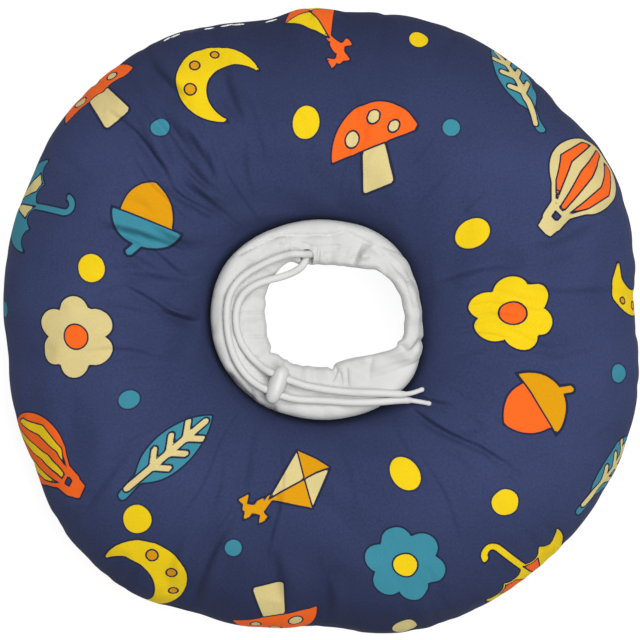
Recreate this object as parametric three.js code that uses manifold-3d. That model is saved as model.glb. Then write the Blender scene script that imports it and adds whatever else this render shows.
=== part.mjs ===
// A soft, stuffed recovery collar for a cat, lying flat on its underside.
// A ring of printed cotton, filled with fibre, carries a knitted neck cuff. The cuff ends in a hem casing. An elastic
// drawstring runs round inside the casing, comes out at one break in it and passes through a bead lock.
// Millimetres, +Z up. The origin is the middle of the ring's footprint on the floor. Bearings are in degrees from +X
// towards +Y, about the axis of the neck opening.
import * as THREE from 'three';
import { mergeVertices } from 'three/addons/utils/BufferGeometryUtils.js';
import Module from 'manifold-3d';

const wasm = await Module();
wasm.setup();

// Driving dimensions of the stuffed ring. A fold reaches its depth within 1 / foldFade of the ring's upper half, and
// the underside takes the share underPucker of each pucker.
const ringDiameter = 300;
const ringHeight = 56;
const neckDiameter = 98;
const neckOffset = { x: -2, y: -0.5 };
const outerSeamHeight = 27;
const innerSeamHeight = 30;
const ringFullness = 2.3;
const groundPress = 1.16;
const edgePuckerDepth = 7;
const edgePuckerReach = 30;
const foldDepth = 4;
const foldFade = 1.5;
const underPucker = 0.5;

// Driving dimensions of the neck cuff and of the casing at its edge
const cuffWall = 1.2;
const rimRise = 20;
const edgeRise = 13;
const casingWidth = 13;
const gatherDepth = 0.7;
const gatherCount = 17;
const seamGap = 0.3;
const sleeveLean = 0.4;

// Driving dimensions of the drawstring and of the bead lock on it. The lock rests on places within lockFoot of its
// length from its middle, and the strands run straight for lockRun of its width to either side.
const cordDiameter = 3.5;
const casingClearance = 0.8;
const restGap = 0.55;
const dipWidth = 8;
const lockLength = 18.4;
const lockWidth = 8.4;
const lockRoundness = 2.6;
const lockHoleSpacing = 8;
const lockHoleClearance = 0.6;
const lockTurn = -21;
const lockPlace = { x: -18.1, y: -29.9 };
const lockFoot = 0.35;
const lockRun = 0.6;

// The break in the casing where both strands come out, as bearings. The strands leave its two mouths straight.
const breakFrom = 91;
const breakTo = 108.5;
const mouthRun = 3;
const breakWidth = 11;

// Shares that shape the cuff's middle line: its shoulder under the rim, and its bend between the rim and the edge
const shoulder = { inwards: 0.45, up: 0.88 };
const bend = { inwards: 0.5, down: 0.45 };

// Fineness of the facets
const ringBearings = 90;
const ringTurns = 24;
const cuffBearings = 72;
const sleeveSteps = 4;
const cordSteps = 80;
const cordSides = 8;
const hiddenStep = 9;
const lockSteps = 12;
const lockSides = 18;
const lockHoleSides = 14;

const ringRadius = ringDiameter / 2;
const neckRadius = neckDiameter / 2;
const cordRadius = cordDiameter / 2;
const casingHalf = cordRadius + casingClearance;

// The ring's outline seen from above. reach is a share of the ring's radius, with a row for each bulge and dip.
const outlineRows = [
  { bearing: 0, reach: 1.011 },
  { bearing: 10, reach: 1.023 },
  { bearing: 28, reach: 1.06 },
  { bearing: 42, reach: 1.018 },
  { bearing: 60, reach: 1.017 },
  { bearing: 72, reach: 1.003 },
  { bearing: 84, reach: 0.982 },
  { bearing: 92, reach: 0.985 },
  { bearing: 100, reach: 0.969 },
  { bearing: 112, reach: 0.998 },
  { bearing: 122, reach: 1.014 },
  { bearing: 142, reach: 1.028 },
  { bearing: 162, reach: 1.015 },
  { bearing: 184, reach: 0.987 },
  { bearing: 202, reach: 1.001 },
  { bearing: 224, reach: 1.042 },
  { bearing: 240, reach: 1.034 },
  { bearing: 251, reach: 0.993 },
  { bearing: 270, reach: 0.969 },
  { bearing: 289, reach: 1.03 },
  { bearing: 310, reach: 1.049 },
  { bearing: 330, reach: 1.056 },
  { bearing: 345, reach: 1.043 },
];

// Puckers where the outer seam draws the cloth in. depth and reach are shares of the largest pucker's.
const puckerRows = [
  { bearing: 3, spread: 5, depth: 0.5, reach: 0.9 },
  { bearing: 40, spread: 4, depth: 0.5, reach: 0.8 },
  { bearing: 84, spread: 4, depth: 0.4, reach: 0.6 },
  { bearing: 109, spread: 6, depth: 0.5, reach: 0.7 },
  { bearing: 153, spread: 5, depth: 0.5, reach: 0.8 },
  { bearing: 186, spread: 5, depth: 0.6, reach: 0.9 },
  { bearing: 208, spread: 5, depth: 0.6, reach: 0.9 },
  { bearing: 246, spread: 6, depth: 1, reach: 1 },
  { bearing: 271, spread: 6, depth: 0.8, reach: 1 },
];

// Folds across the upper cloth. from and to are shares of the way from the neck seam to the outer seam, depth is a
// share of the deepest fold's.
const foldRows = [
  { bearing: 128, from: 0.28, turn: 0, to: 0.7, width: 8, depth: 1 },
  { bearing: 137, from: 0.36, turn: -3, to: 0.68, width: 6, depth: 0.5 },
  { bearing: 121, from: 0.7, turn: 2, to: 0.93, width: 6, depth: 0.7 },
  { bearing: 146, from: 0.12, turn: 14, to: 0.6, width: 6, depth: 0.5 },
  { bearing: 179, from: 0.03, turn: -2, to: 0.22, width: 4, depth: 0.6 },
  { bearing: 21, from: 0.52, turn: -1, to: 0.82, width: 7, depth: 0.7 },
  { bearing: 21, from: 0.08, turn: -6, to: 0.48, width: 5, depth: 0.4 },
  { bearing: 317, from: 0.1, turn: 6, to: 0.62, width: 4, depth: 0.8 },
  { bearing: 260, from: 0.6, turn: 2, to: 0.86, width: 6, depth: 0.6 },
];

// The cuff round the neck. seam, rim and edge are radii as shares of the neck's radius, rise and edgeRise are
// heights over the neck seam as shares of the named ones.
const cuffRows = [
  { bearing: 0, seam: 0.99, rim: 0.95, rise: 0.95, edge: 0.885, edgeRise: 2.15 },
  { bearing: 15, seam: 1, rim: 0.94, rise: 0.97, edge: 0.88, edgeRise: 2.15 },
  { bearing: 30, seam: 1.028, rim: 0.91, rise: 1, edge: 0.82, edgeRise: 1.9 },
  { bearing: 45, seam: 1.034, rim: 0.92, rise: 1.03, edge: 0.69, edgeRise: 1.5 },
  { bearing: 60, seam: 1.014, rim: 0.9, rise: 1.04, edge: 0.6, edgeRise: 1.25 },
  { bearing: 75, seam: 0.98, rim: 0.85, rise: 1, edge: 0.555, edgeRise: 1.15 },
  { bearing: 90, seam: 0.965, rim: 0.82, rise: 0.97, edge: 0.539, edgeRise: 1.15 },
  { bearing: 103, seam: 0.962, rim: 0.83, rise: 0.97, edge: 0.548, edgeRise: 1.12 },
  { bearing: 115, seam: 0.97, rim: 0.86, rise: 0.98, edge: 0.62, edgeRise: 1.08 },
  { bearing: 132, seam: 1, rim: 0.89, rise: 1, edge: 0.6, edgeRise: 1 },
  { bearing: 150, seam: 1.028, rim: 0.91, rise: 1.02, edge: 0.56, edgeRise: 0.92 },
  { bearing: 180, seam: 1.018, rim: 0.89, rise: 1.02, edge: 0.496, edgeRise: 0.9 },
  { bearing: 210, seam: 0.994, rim: 0.87, rise: 1.02, edge: 0.508, edgeRise: 0.95 },
  { bearing: 240, seam: 0.965, rim: 0.84, rise: 0.98, edge: 0.486, edgeRise: 1 },
  { bearing: 258, seam: 0.95, rim: 0.83, rise: 0.97, edge: 0.455, edgeRise: 1.05 },
  { bearing: 285, seam: 0.978, rim: 0.85, rise: 1, edge: 0.47, edgeRise: 1.1 },
  { bearing: 300, seam: 1.014, rim: 0.87, rise: 1.02, edge: 0.467, edgeRise: 1.12 },
  { bearing: 315, seam: 1.05, rim: 0.91, rise: 1.04, edge: 0.52, edgeRise: 1.15 },
  { bearing: 330, seam: 1.075, rim: 0.96, rise: 1.02, edge: 0.66, edgeRise: 1.35 },
  { bearing: 345, seam: 1.04, rim: 0.98, rise: 0.98, edge: 0.85, edgeRise: 1.95 },
];

// The casing across its width, from the hem stitching at 0 to the free edge at 1. fill is its inner half height as a
// share of the drawstring's room.
const casingRows = [
  { along: 0, fill: 0 },
  { along: 0.2, fill: 0.35 },
  { along: 0.4, fill: 0.95 },
  { along: 0.58, fill: 1 },
  { along: 0.8, fill: 1 },
  { along: 0.91, fill: 0.6 },
];
const cordAlong = 0.63;

// The two free strands seen from above, from the break in the casing to their tips, about the neck axis. lift is
// the height over what the strand would otherwise lie on.
const outerStrand = [
  { x: -4.6, y: 30.4, lift: -1 },
  { x: -10, y: 30.9, lift: 1.8 },
  { x: -15, y: 29.9, lift: 0 },
  { x: -21, y: 27.7, lift: 0.3 },
  { x: -27.5, y: 24.5, lift: 0.2 },
  { x: -33.9, y: 20.5, lift: 0 },
  { x: -38.4, y: 15.6, lift: 0 },
  { x: -40.9, y: 10, lift: 0 },
  { x: -41.6, y: 3.6, lift: 0 },
  { x: -41.3, y: -4.3, lift: 0 },
  { x: -40.2, y: -10.7, lift: 0 },
  { x: -38.1, y: -17, lift: 0 },
  { x: -34.5, y: -23.4, lift: 0 },
  { x: -29.5, y: -28.6, lift: 0.4 },
];
const innerStrand = [
  { x: -5.4, y: 27.2, lift: 0.9 },
  { x: -8.6, y: 24, lift: 2.4 },
  { x: -13.8, y: 21, lift: 3 },
  { x: -19.4, y: 19.2, lift: 3.4 },
  { x: -25.5, y: 17.6, lift: 0.6 },
  { x: -31.6, y: 14.3, lift: 0.3 },
  { x: -35.4, y: 10.2, lift: 0 },
  { x: -37.1, y: 5, lift: 0 },
  { x: -37.4, y: 0, lift: 0 },
  { x: -36.6, y: -5.9, lift: 0 },
  { x: -34.4, y: -11.5, lift: 0 },
  { x: -30.5, y: -17, lift: 0.3 },
  { x: -26, y: -21.2, lift: 0.6 },
];
const outerTail = [
  { x: -8.6, y: -36.9, lift: 0.3 },
  { x: 2.8, y: -37.4, lift: 0.2 },
  { x: 14.8, y: -38.2, lift: 0.2 },
  { x: 24, y: -38.3, lift: 0.2 },
  { x: 35, y: -37.9, lift: 0 },
  { x: 45, y: -37.6, lift: 0.2 },
  { x: 53.4, y: -38.6, lift: 0 },
];
const innerTail = [
  { x: -6, y: -30.2, lift: 0.6 },
  { x: 4.4, y: -32.2, lift: 0.3 },
  { x: 14.8, y: -33.4, lift: 0.3 },
  { x: 24, y: -34, lift: 0.4 },
  { x: 33, y: -34.2, lift: 0.6 },
  { x: 42.4, y: -34.4, lift: 2.2 },
  { x: 50, y: -32, lift: 1 },
];

const mix = (a, b, share) => a + (b - a) * share;
const radians = (degrees) => THREE.MathUtils.degToRad(degrees);

// A smooth closed curve through one column of a table whose rows are in order of bearing.
function around(rows, column, bearing) {
  const count = rows.length;
  const turned = THREE.MathUtils.euclideanModulo(bearing, 360);
  const here = rows.findLastIndex((row) => row.bearing <= turned);
  const place = (k) => rows[THREE.MathUtils.euclideanModulo(k, count)].bearing + 360 * Math.floor(k / count);
  const value = (k) => rows[THREE.MathUtils.euclideanModulo(k, count)][column];
  const slope = (k) => (value(k + 1) - value(k - 1)) / (place(k + 1) - place(k - 1));
  const span = place(here + 1) - place(here);
  const t = (turned - place(here)) / span;
  const rise = value(here + 1) - value(here);
  const cubic = slope(here) * span + slope(here + 1) * span - 2 * rise;
  const square = 3 * rise - 2 * slope(here) * span - slope(here + 1) * span;
  return value(here) + slope(here) * span * t + square * t * t + cubic * t * t * t;
}

const bearingGap = (a, b) => THREE.MathUtils.euclideanModulo(a - b + 180, 360) - 180;
const bell = (x) => Math.exp(-x * x);
const seamRadius = (bearing) => neckRadius * around(cuffRows, 'seam', bearing);
const outlineRadius = (bearing) => ringRadius * around(outlineRows, 'reach', bearing);

function polar(bearing, radius, height) {
  return new THREE.Vector3(
    radius * Math.cos(radians(bearing)), radius * Math.sin(radians(bearing)), height,
  );
}

// How far the outer seam's puckers draw the cloth in at a distance from that seam.
function puckerDepth(bearing, fromSeam) {
  let depth = 0;
  for (const row of puckerRows) {
    const fade = Math.max(0, 1 - fromSeam / (edgePuckerReach * row.reach));
    depth += row.depth * fade * fade * bell(bearingGap(bearing, row.bearing) / row.spread);
  }
  return edgePuckerDepth * depth;
}

// How deep the folds of the upper cloth are at a place.
function foldsAt(place) {
  let depth = 0;
  for (const row of foldRows) {
    const ends = [[row.bearing, row.from], [row.bearing + row.turn, row.to]].map(([bearing, share]) => (
      polar(bearing, mix(seamRadius(bearing), outlineRadius(bearing), share), 0)
    ));
    const nearest = new THREE.Line3(...ends).closestPointToPoint(place, true, new THREE.Vector3());
    depth += row.depth * bell(nearest.distanceTo(place) / row.width);
  }
  return foldDepth * depth;
}

// A point of the ring's skin. turn runs from the outer seam over the top to the neck seam and back underneath.
function ringPoint(bearing, turn) {
  const across = Math.cos(2 * Math.PI * turn);
  const up = Math.sin(2 * Math.PI * turn);
  const full = (v) => Math.sign(v) * Math.abs(v) ** (2 / ringFullness);
  const inner = seamRadius(bearing);
  const outer = outlineRadius(bearing);
  const radius = mix(inner, outer, (1 + full(across)) / 2);
  const seam = mix(innerSeamHeight, outerSeamHeight, (1 + full(across)) / 2);
  const pucker = puckerDepth(bearing, outer - radius);
  const point = polar(bearing, radius, 0);
  if (up < 0) {
    point.z = Math.max(0, seam * (1 + groundPress * full(up)) + pucker * underPucker);
    return point;
  }
  const fold = foldsAt(point.clone().setZ(0)) * Math.min(1, foldFade * up);
  point.z = seam + (ringHeight - seam - pucker) * full(up) - fold;
  return point;
}

// Joins closed sections, in order round the axis, into one closed ring-shaped skin.
function ringLoft(sections) {
  const positions = sections.flat().flatMap((point) => point.toArray());
  const length = sections[0].length;
  const index = [];
  for (let a = 0; a < sections.length; a += 1) {
    const b = (a + 1) % sections.length;
    for (let k = 0; k < length; k += 1) {
      const next = (k + 1) % length;
      index.push(a * length + k, b * length + k, b * length + next);
      index.push(a * length + k, b * length + next, a * length + next);
    }
  }
  const geometry = new THREE.BufferGeometry();
  geometry.setAttribute('position', new THREE.Float32BufferAttribute(positions, 3));
  geometry.setIndex(index);
  return geometry;
}

const eachBearing = (count, make) => Array.from({ length: count }, (_, k) => make((k * 360) / count));

function cushionGeometry() {
  return ringLoft(eachBearing(ringBearings, (bearing) => (
    Array.from({ length: ringTurns }, (_, k) => ringPoint(bearing, k / ringTurns))
  )));
}

// The middle line of the cuff's cloth at one bearing, from the neck seam over the rim to the free edge.
function cuffLine(bearing) {
  const seam = seamRadius(bearing) - seamGap - cuffWall / 2;
  const rim = neckRadius * around(cuffRows, 'rim', bearing);
  const edge = neckRadius * around(cuffRows, 'edge', bearing);
  const gather = gatherDepth * Math.sin(radians(bearing * gatherCount));
  const rimHeight = rimRise * around(cuffRows, 'rise', bearing);
  const edgeHeight = edgeRise * around(cuffRows, 'edgeRise', bearing) + gather;
  return new THREE.SplineCurve([
    new THREE.Vector2(seam, innerSeamHeight),
    new THREE.Vector2(seam - sleeveLean, innerSeamHeight + rimHeight / 2),
    new THREE.Vector2(mix(seam, rim, shoulder.inwards), innerSeamHeight + rimHeight * shoulder.up),
    new THREE.Vector2(rim, innerSeamHeight + rimHeight + gather / 2),
    new THREE.Vector2(mix(rim, edge, bend.inwards), innerSeamHeight + mix(rimHeight, edgeHeight, bend.down)),
    new THREE.Vector2(edge, innerSeamHeight + edgeHeight),
  ]);
}

// A point beside the middle line. off is along the cloth's outer normal.
function beside(line, share, off) {
  const point = line.getPointAt(share);
  const along = line.getTangentAt(share);
  return new THREE.Vector2(point.x + along.y * off, point.y - along.x * off);
}

const casingShare = (line, along) => 1 - (casingWidth / line.getLength()) * (1 - along);

// The stations along the cloth at one bearing, each with half the cloth's thickness there.
function cuffStations(line) {
  const stations = [];
  const hem = casingShare(line, 0);
  for (let k = 0; k < sleeveSteps; k += 1) {
    stations.push({ share: (hem * k) / sleeveSteps, half: cuffWall / 2 });
  }
  for (const row of casingRows) {
    stations.push({ share: casingShare(line, row.along), half: cuffWall + casingHalf * row.fill });
  }
  stations.push({ share: 1, half: cuffWall });
  return stations;
}

function skin(bearing, stations) {
  const line = cuffLine(bearing);
  const side = (sign) => stations(line).map(({ share, half }) => beside(line, share, sign * half));
  return [...side(1), ...side(-1).reverse()].map((point) => polar(bearing, point.x, point.y));
}

// The room inside the casing, which stops short of the hem stitching and of the free edge.
const casingRoom = (line) => casingRows.slice(1).map((row) => (
  { share: casingShare(line, row.along), half: casingHalf * row.fill }
));

const casingMiddle = (bearing) => {
  const line = cuffLine(bearing);
  const point = line.getPointAt(casingShare(line, cordAlong));
  return polar(bearing, point.x, point.y);
};

function toManifold(geometry) {
  const bare = geometry.clone();
  bare.deleteAttribute('normal');
  bare.deleteAttribute('uv');
  const merged = mergeVertices(bare, 1e-4);
  return new wasm.Manifold(new wasm.Mesh({
    numProp: 3,
    vertProperties: new Float32Array(merged.attributes.position.array),
    triVerts: new Uint32Array(merged.index.array),
  }));
}

function fromManifold(solid) {
  const mesh = solid.getMesh();
  const geometry = new THREE.BufferGeometry();
  geometry.setAttribute('position', new THREE.BufferAttribute(mesh.vertProperties, 3));
  geometry.setIndex(new THREE.BufferAttribute(mesh.triVerts, 1));
  return geometry;
}

// The block that opens the upper side of the casing between the two mouths.
function breakGeometry() {
  const from = casingMiddle(breakFrom);
  const to = casingMiddle(breakTo);
  const middle = from.clone().lerp(to, 0.5);
  const block = new THREE.BoxGeometry(from.distanceTo(to), breakWidth, ringHeight);
  block.rotateZ(Math.atan2(to.y - from.y, to.x - from.x));
  block.translate(middle.x, middle.y, middle.z + ringHeight / 2);
  return block;
}

function cuffGeometry() {
  const outside = toManifold(ringLoft(eachBearing(cuffBearings, (bearing) => skin(bearing, cuffStations))));
  const room = toManifold(ringLoft(eachBearing(cuffBearings, (bearing) => skin(bearing, casingRoom))));
  return fromManifold(outside.subtract(room).subtract(toManifold(breakGeometry())));
}

// The upper face of the cuff or of the ring at one bearing, as radius and height.
function upperFace(bearing, radius) {
  if (radius < seamRadius(bearing)) {
    const line = cuffLine(bearing);
    return cuffStations(line).map(({ share, half }) => beside(line, share, half));
  }
  return Array.from({ length: ringTurns }, (_, k) => {
    const point = ringPoint(bearing, k / (2 * ringTurns));
    return new THREE.Vector2(Math.hypot(point.x, point.y), point.z);
  });
}

function faceHeight(bearing, radius) {
  const face = upperFace(bearing, radius);
  let height = 0;
  for (let k = 1; k < face.length; k += 1) {
    const [low, high] = [face[k - 1], face[k]].sort((a, b) => a.x - b.x);
    if (low.x <= radius && radius <= high.x) {
      height = Math.max(height, mix(low.y, high.y, (radius - low.x) / (high.x - low.x)));
    }
  }
  return height || face.at(-1).y;
}

// The height that a strand lies at over a place. It bridges the dip between the cuff's rim and the ring.
function surfaceHeight(x, y) {
  const bearing = THREE.MathUtils.radToDeg(Math.atan2(y, x));
  const radius = Math.hypot(x, y);
  const rim = neckRadius * around(cuffRows, 'rim', bearing);
  const shore = seamRadius(bearing) + dipWidth;
  if (radius < rim || radius > shore) {
    return faceHeight(bearing, radius);
  }
  return mix(faceHeight(bearing, rim), faceHeight(bearing, shore), (radius - rim) / (shore - rim));
}

const laid = ({ x, y, lift }) => (
  new THREE.Vector3(x, y, surfaceHeight(x, y) + cordRadius + restGap + lift)
);

// The bead lock lies across the strands, and its two holes run along them.
const lockAxis = polar(lockTurn, 1, 0);
const lockLong = polar(lockTurn + 90, 1, 0);
const lockMiddle = new THREE.Vector3(
  lockPlace.x,
  lockPlace.y,
  Math.max(...[-lockFoot, 0, lockFoot].map((share) => surfaceHeight(
    lockPlace.x + lockLong.x * lockLength * share, lockPlace.y + lockLong.y * lockLength * share,
  ))) + lockWidth / 2 + restGap,
);

// A place on the axis of one of the lock's holes, side 1 for the inner strand's and -1 for the outer's.
const inLock = (side, along) => lockMiddle.clone()
  .addScaledVector(lockLong, (side * lockHoleSpacing) / 2)
  .addScaledVector(lockAxis, along * lockWidth);

function cordPath() {
  const hidden = [];
  const start = breakFrom + mouthRun;
  const loop = 360 - (breakTo - mouthRun - start);
  const count = Math.round(loop / hiddenStep);
  for (let k = 0; k <= count; k += 1) {
    hidden.push(casingMiddle(start - (loop * k) / count));
  }
  const holes = (side) => [-lockRun, lockRun].map((along) => inLock(side, along));
  return new THREE.CatmullRomCurve3([
    ...outerTail.map(laid).reverse(),
    ...holes(-1).reverse(),
    ...outerStrand.map(laid).reverse(),
    ...hidden,
    ...innerStrand.map(laid),
    ...holes(1),
    ...innerTail.map(laid),
  ], false, 'centripetal');
}

function cordGeometry() {
  const section = new THREE.Shape(Array.from({ length: cordSides }, (_, k) => {
    const angle = (2 * Math.PI * k) / cordSides;
    return new THREE.Vector2(cordRadius * Math.cos(angle), cordRadius * Math.sin(angle));
  }));
  return new THREE.ExtrudeGeometry(section, {
    steps: cordSteps, extrudePath: cordPath(), bevelEnabled: false,
  });
}

// The bean-shaped lock, turned about its long axis, with the two holes through it.
function lockGeometry() {
  const profile = Array.from({ length: lockSteps + 1 }, (_, k) => {
    const along = -Math.cos((Math.PI * k) / lockSteps);
    const round = (1 - Math.abs(along) ** lockRoundness) ** (1 / lockRoundness);
    return new THREE.Vector2((round * lockWidth) / 2, (along * lockLength) / 2);
  });
  let solid = toManifold(new THREE.LatheGeometry(profile, lockSides));
  for (const side of [-1, 1]) {
    const hole = new THREE.CylinderGeometry(
      cordRadius + lockHoleClearance, cordRadius + lockHoleClearance, lockWidth * 2, lockHoleSides,
    );
    hole.rotateZ(Math.PI / 2);
    hole.translate(0, (side * lockHoleSpacing) / 2, 0);
    solid = solid.subtract(toManifold(hole));
  }
  return fromManifold(solid);
}

function piece(name, geometry, colour, roughness) {
  const material = new THREE.MeshStandardMaterial({ color: colour, roughness, metalness: 0 });
  const mesh = new THREE.Mesh(geometry, material);
  mesh.name = name;
  return mesh;
}

const collar = new THREE.Group();
collar.position.set(neckOffset.x, neckOffset.y, 0);
collar.add(piece('cushion_ring', cushionGeometry(), '#383f60', 0.85));
collar.add(piece('neck_cuff', cuffGeometry(), '#d9d9d8', 0.9));
collar.add(piece('drawstring', cordGeometry(), '#dadad9', 0.8));
const lock = piece('cord_lock', lockGeometry(), '#d8d8d8', 0.35);
lock.position.copy(lockMiddle);
lock.rotation.z = radians(lockTurn);
collar.add(lock);

export default collar;
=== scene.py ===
# %% [markdown]
# A stuffed recovery collar for a cat, lying flat and seen from straight above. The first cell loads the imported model
# as a fixed frame. Every new piece is then made in that frame, in metres, around the same named sizes as the solids.
# %% The frame
import math
import bmesh
import bpy
import numpy as np
from mathutils import Matrix, Vector


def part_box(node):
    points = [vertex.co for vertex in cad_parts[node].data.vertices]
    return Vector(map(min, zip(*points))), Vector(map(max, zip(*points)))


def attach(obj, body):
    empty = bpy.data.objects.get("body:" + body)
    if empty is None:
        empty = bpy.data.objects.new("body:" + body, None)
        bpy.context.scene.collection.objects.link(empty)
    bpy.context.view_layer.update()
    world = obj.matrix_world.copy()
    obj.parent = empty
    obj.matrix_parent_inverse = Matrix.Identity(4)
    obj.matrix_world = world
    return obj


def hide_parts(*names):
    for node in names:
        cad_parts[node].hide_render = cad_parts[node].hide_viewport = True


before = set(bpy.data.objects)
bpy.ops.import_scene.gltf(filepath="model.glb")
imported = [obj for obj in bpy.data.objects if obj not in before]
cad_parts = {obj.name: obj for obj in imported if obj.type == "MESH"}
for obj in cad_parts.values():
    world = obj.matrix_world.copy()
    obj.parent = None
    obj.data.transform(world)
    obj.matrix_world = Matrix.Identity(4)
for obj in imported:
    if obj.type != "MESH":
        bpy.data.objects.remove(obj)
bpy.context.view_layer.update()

MM = 0.001
print("nodes in the frame:", sorted(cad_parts))

# %% [markdown]
# The camera looks straight down from well above, through a long lens, so the ring is drawn almost without
# perspective. It is as far away as makes the picture 303 mm wide at the height of the ring's outer seam.
# %% The camera
PICTURE_WIDTH = 302.8 * MM
OUTER_SEAM_HEIGHT = 27 * MM
LENS = 150
SENSOR = 36
CAMERA_PLACE = (-0.3 * MM, -0.5 * MM)

camera_data = bpy.data.cameras.new("camera")
camera_data.lens = LENS
camera_data.sensor_width = SENSOR
camera = bpy.data.objects.new("camera", camera_data)
camera_distance = PICTURE_WIDTH * LENS / SENSOR
camera.location = (*CAMERA_PLACE, OUTER_SEAM_HEIGHT + camera_distance)
bpy.context.scene.collection.objects.link(camera)
bpy.context.scene.camera = camera
print("camera above the outer seam, m:", round(camera_distance, 3))

# %% [markdown]
# The collar's forms are worked out from a few sizes and from short tables, with a row for each bulge, pucker or
# fold. A bearing is an angle in degrees about the axis of the neck opening, and the tables hold shares of the sizes.
# %% Sizes of the ring, the cuff and the drawstring
RING_RADIUS = 150 * MM
RING_HEIGHT = 56 * MM
NECK_RADIUS = 49 * MM
NECK_OFFSET = (-2 * MM, -0.5 * MM)
INNER_SEAM_HEIGHT = 30 * MM
RING_FULLNESS = 2.3
GROUND_PRESS = 1.16
EDGE_PUCKER_DEPTH = 7 * MM
EDGE_PUCKER_REACH = 30 * MM
FOLD_DEPTH = 5 * MM
CUFF_WALL = 1.2 * MM
RIM_RISE = 20 * MM
EDGE_RISE = 13 * MM
CASING_WIDTH = 13 * MM
GATHER_DEPTH = 0.7 * MM
GATHER_COUNT = 17
SEAM_GAP = 0.3 * MM
CORD_DIAMETER = 3.5 * MM
CASING_HALF = CORD_DIAMETER / 2 + 0.8 * MM
REST_GAP = 0.2 * MM

# %% Tables of the ring
def named_rows(columns, values):
    """A table whose rows are read by the names of its columns."""
    return [dict(zip(columns.split(), row)) for row in values]


OUTLINE_ROWS = named_rows("bearing reach", [
    (0, 1.011), (10, 1.023), (28, 1.047), (43, 1.025), (60, 1.017), (72, 1.003), (84, 0.982), (92, 0.985),
    (100, 0.959), (112, 0.998), (122, 1.014), (142, 1.021), (162, 1.002), (184, 0.987), (202, 1.001), (224, 1.042),
    (240, 1.034), (251, 1.004), (270, 0.979), (289, 1.03), (310, 1.049), (330, 1.056), (345, 1.043),
])
PUCKER_ROWS = named_rows("bearing spread depth reach", [
    (3, 5, 0.5, 0.9), (40, 4, 0.5, 0.8), (84, 4, 0.4, 0.6), (109, 6, 0.15, 0.7), (153, 5, 0.5, 0.8),
    (186, 5, 0.6, 0.9), (208, 5, 0.6, 0.9), (246, 6, 1, 1), (271, 6, 0.8, 1),
])
FOLD_ROWS = named_rows("bearing start turn end width depth", [
    (128, 0.28, 0, 0.7, 5.6, 0.85), (126.7, 0.33, 3.3, 0.8, 1.6, 0.42), (126.4, 0.25, 3.6, 0.56, 1.8, 0.4),
    (124, 0.3, 1, 0.6, 3, 0.6), (137, 0.3, -3, 0.72, 4, 0.6), (134.6, 0.48, 1.1, 0.84, 1.7, 0.4),
    (133.5, 0.17, 3, 0.42, 1.8, 0.36), (150.8, 0.17, 7, 0.6, 1.8, 0.34), (179.6, 0.05, -8.6, 0.42, 1.7, 0.4),
    (133, 0.16, -1, 0.5, 4, 0.5), (121, 0.7, 2, 0.93, 5, 0.8), (113, 0.5, -3, 0.75, 4, 0.5),
    (146, 0.12, 14, 0.6, 5, 0.6), (158, 0.1, 10, 0.5, 3, 0.4), (166, 0.3, 6, 0.52, 4, 0.4),
    (179, 0.03, -2, 0.22, 2.4, 0.8), (21, 0.52, -1, 0.82, 6, 0.7), (21, 0.08, -6, 0.48, 4, 0.5),
    (8, 0.55, -4, 0.9, 3, 0.3), (352, 0.45, 3, 0.85, 4, 0.35), (317.5, 0.08, 3.4, 0.36, 4.4, 0.5),
    (319.2, 0.1, 3.1, 0.6, 1.3, 0.62), (322, 0.02, 6, 0.2, 2, 0.5), (260, 0.6, 2, 0.86, 6, 0.7),
    (247, 0.55, -2, 0.95, 4, 0.6), (238, 0.6, 2, 0.9, 3.5, 0.35), (272, 0.7, -1, 0.98, 4, 0.5),
    (215, 0.55, 3, 0.85, 4, 0.35), (75, 0.3, 6, 0.55, 6, 0.3),
])

# %% Tables of the cuff and of its casing
CUFF_ROWS = named_rows("bearing seam rim rise edge edge_rise", [
    (0, 0.99, 0.95, 0.95, 0.885, 2.15), (15, 1, 0.94, 0.97, 0.88, 2.15), (30, 1.028, 0.91, 1, 0.82, 1.9),
    (45, 1.034, 0.92, 1.03, 0.69, 1.5), (60, 1.014, 0.9, 1.04, 0.6, 1.25), (75, 0.98, 0.85, 1, 0.555, 1.15),
    (90, 0.965, 0.82, 0.97, 0.539, 1.15), (103, 0.962, 0.83, 0.97, 0.548, 1.12), (115, 0.97, 0.86, 0.98, 0.62, 1.08),
    (132, 1, 0.89, 1, 0.6, 1), (150, 1.028, 0.91, 1.02, 0.56, 0.92), (180, 1.018, 0.89, 1.02, 0.496, 0.9),
    (210, 0.994, 0.87, 1.02, 0.508, 0.95), (240, 0.965, 0.84, 0.98, 0.486, 1), (258, 0.95, 0.83, 0.97, 0.455, 1.05),
    (285, 0.978, 0.85, 1, 0.47, 1.1), (300, 1.014, 0.87, 1.02, 0.467, 1.12), (315, 1.05, 0.91, 1.04, 0.52, 1.15),
    (330, 1.075, 0.96, 1.02, 0.66, 1.35), (345, 1.04, 0.98, 0.98, 0.85, 1.95),
])
CASING_ROWS = named_rows("along fill", [
    (0, 0), (0.2, 0.35), (0.4, 0.95), (0.58, 1), (0.8, 1), (0.91, 0.6), (1, 0),
])
CORD_ALONG = 0.63
BREAK_FROM = 91
TURN_FROM = 121
MOUTH_RUN = 3

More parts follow.
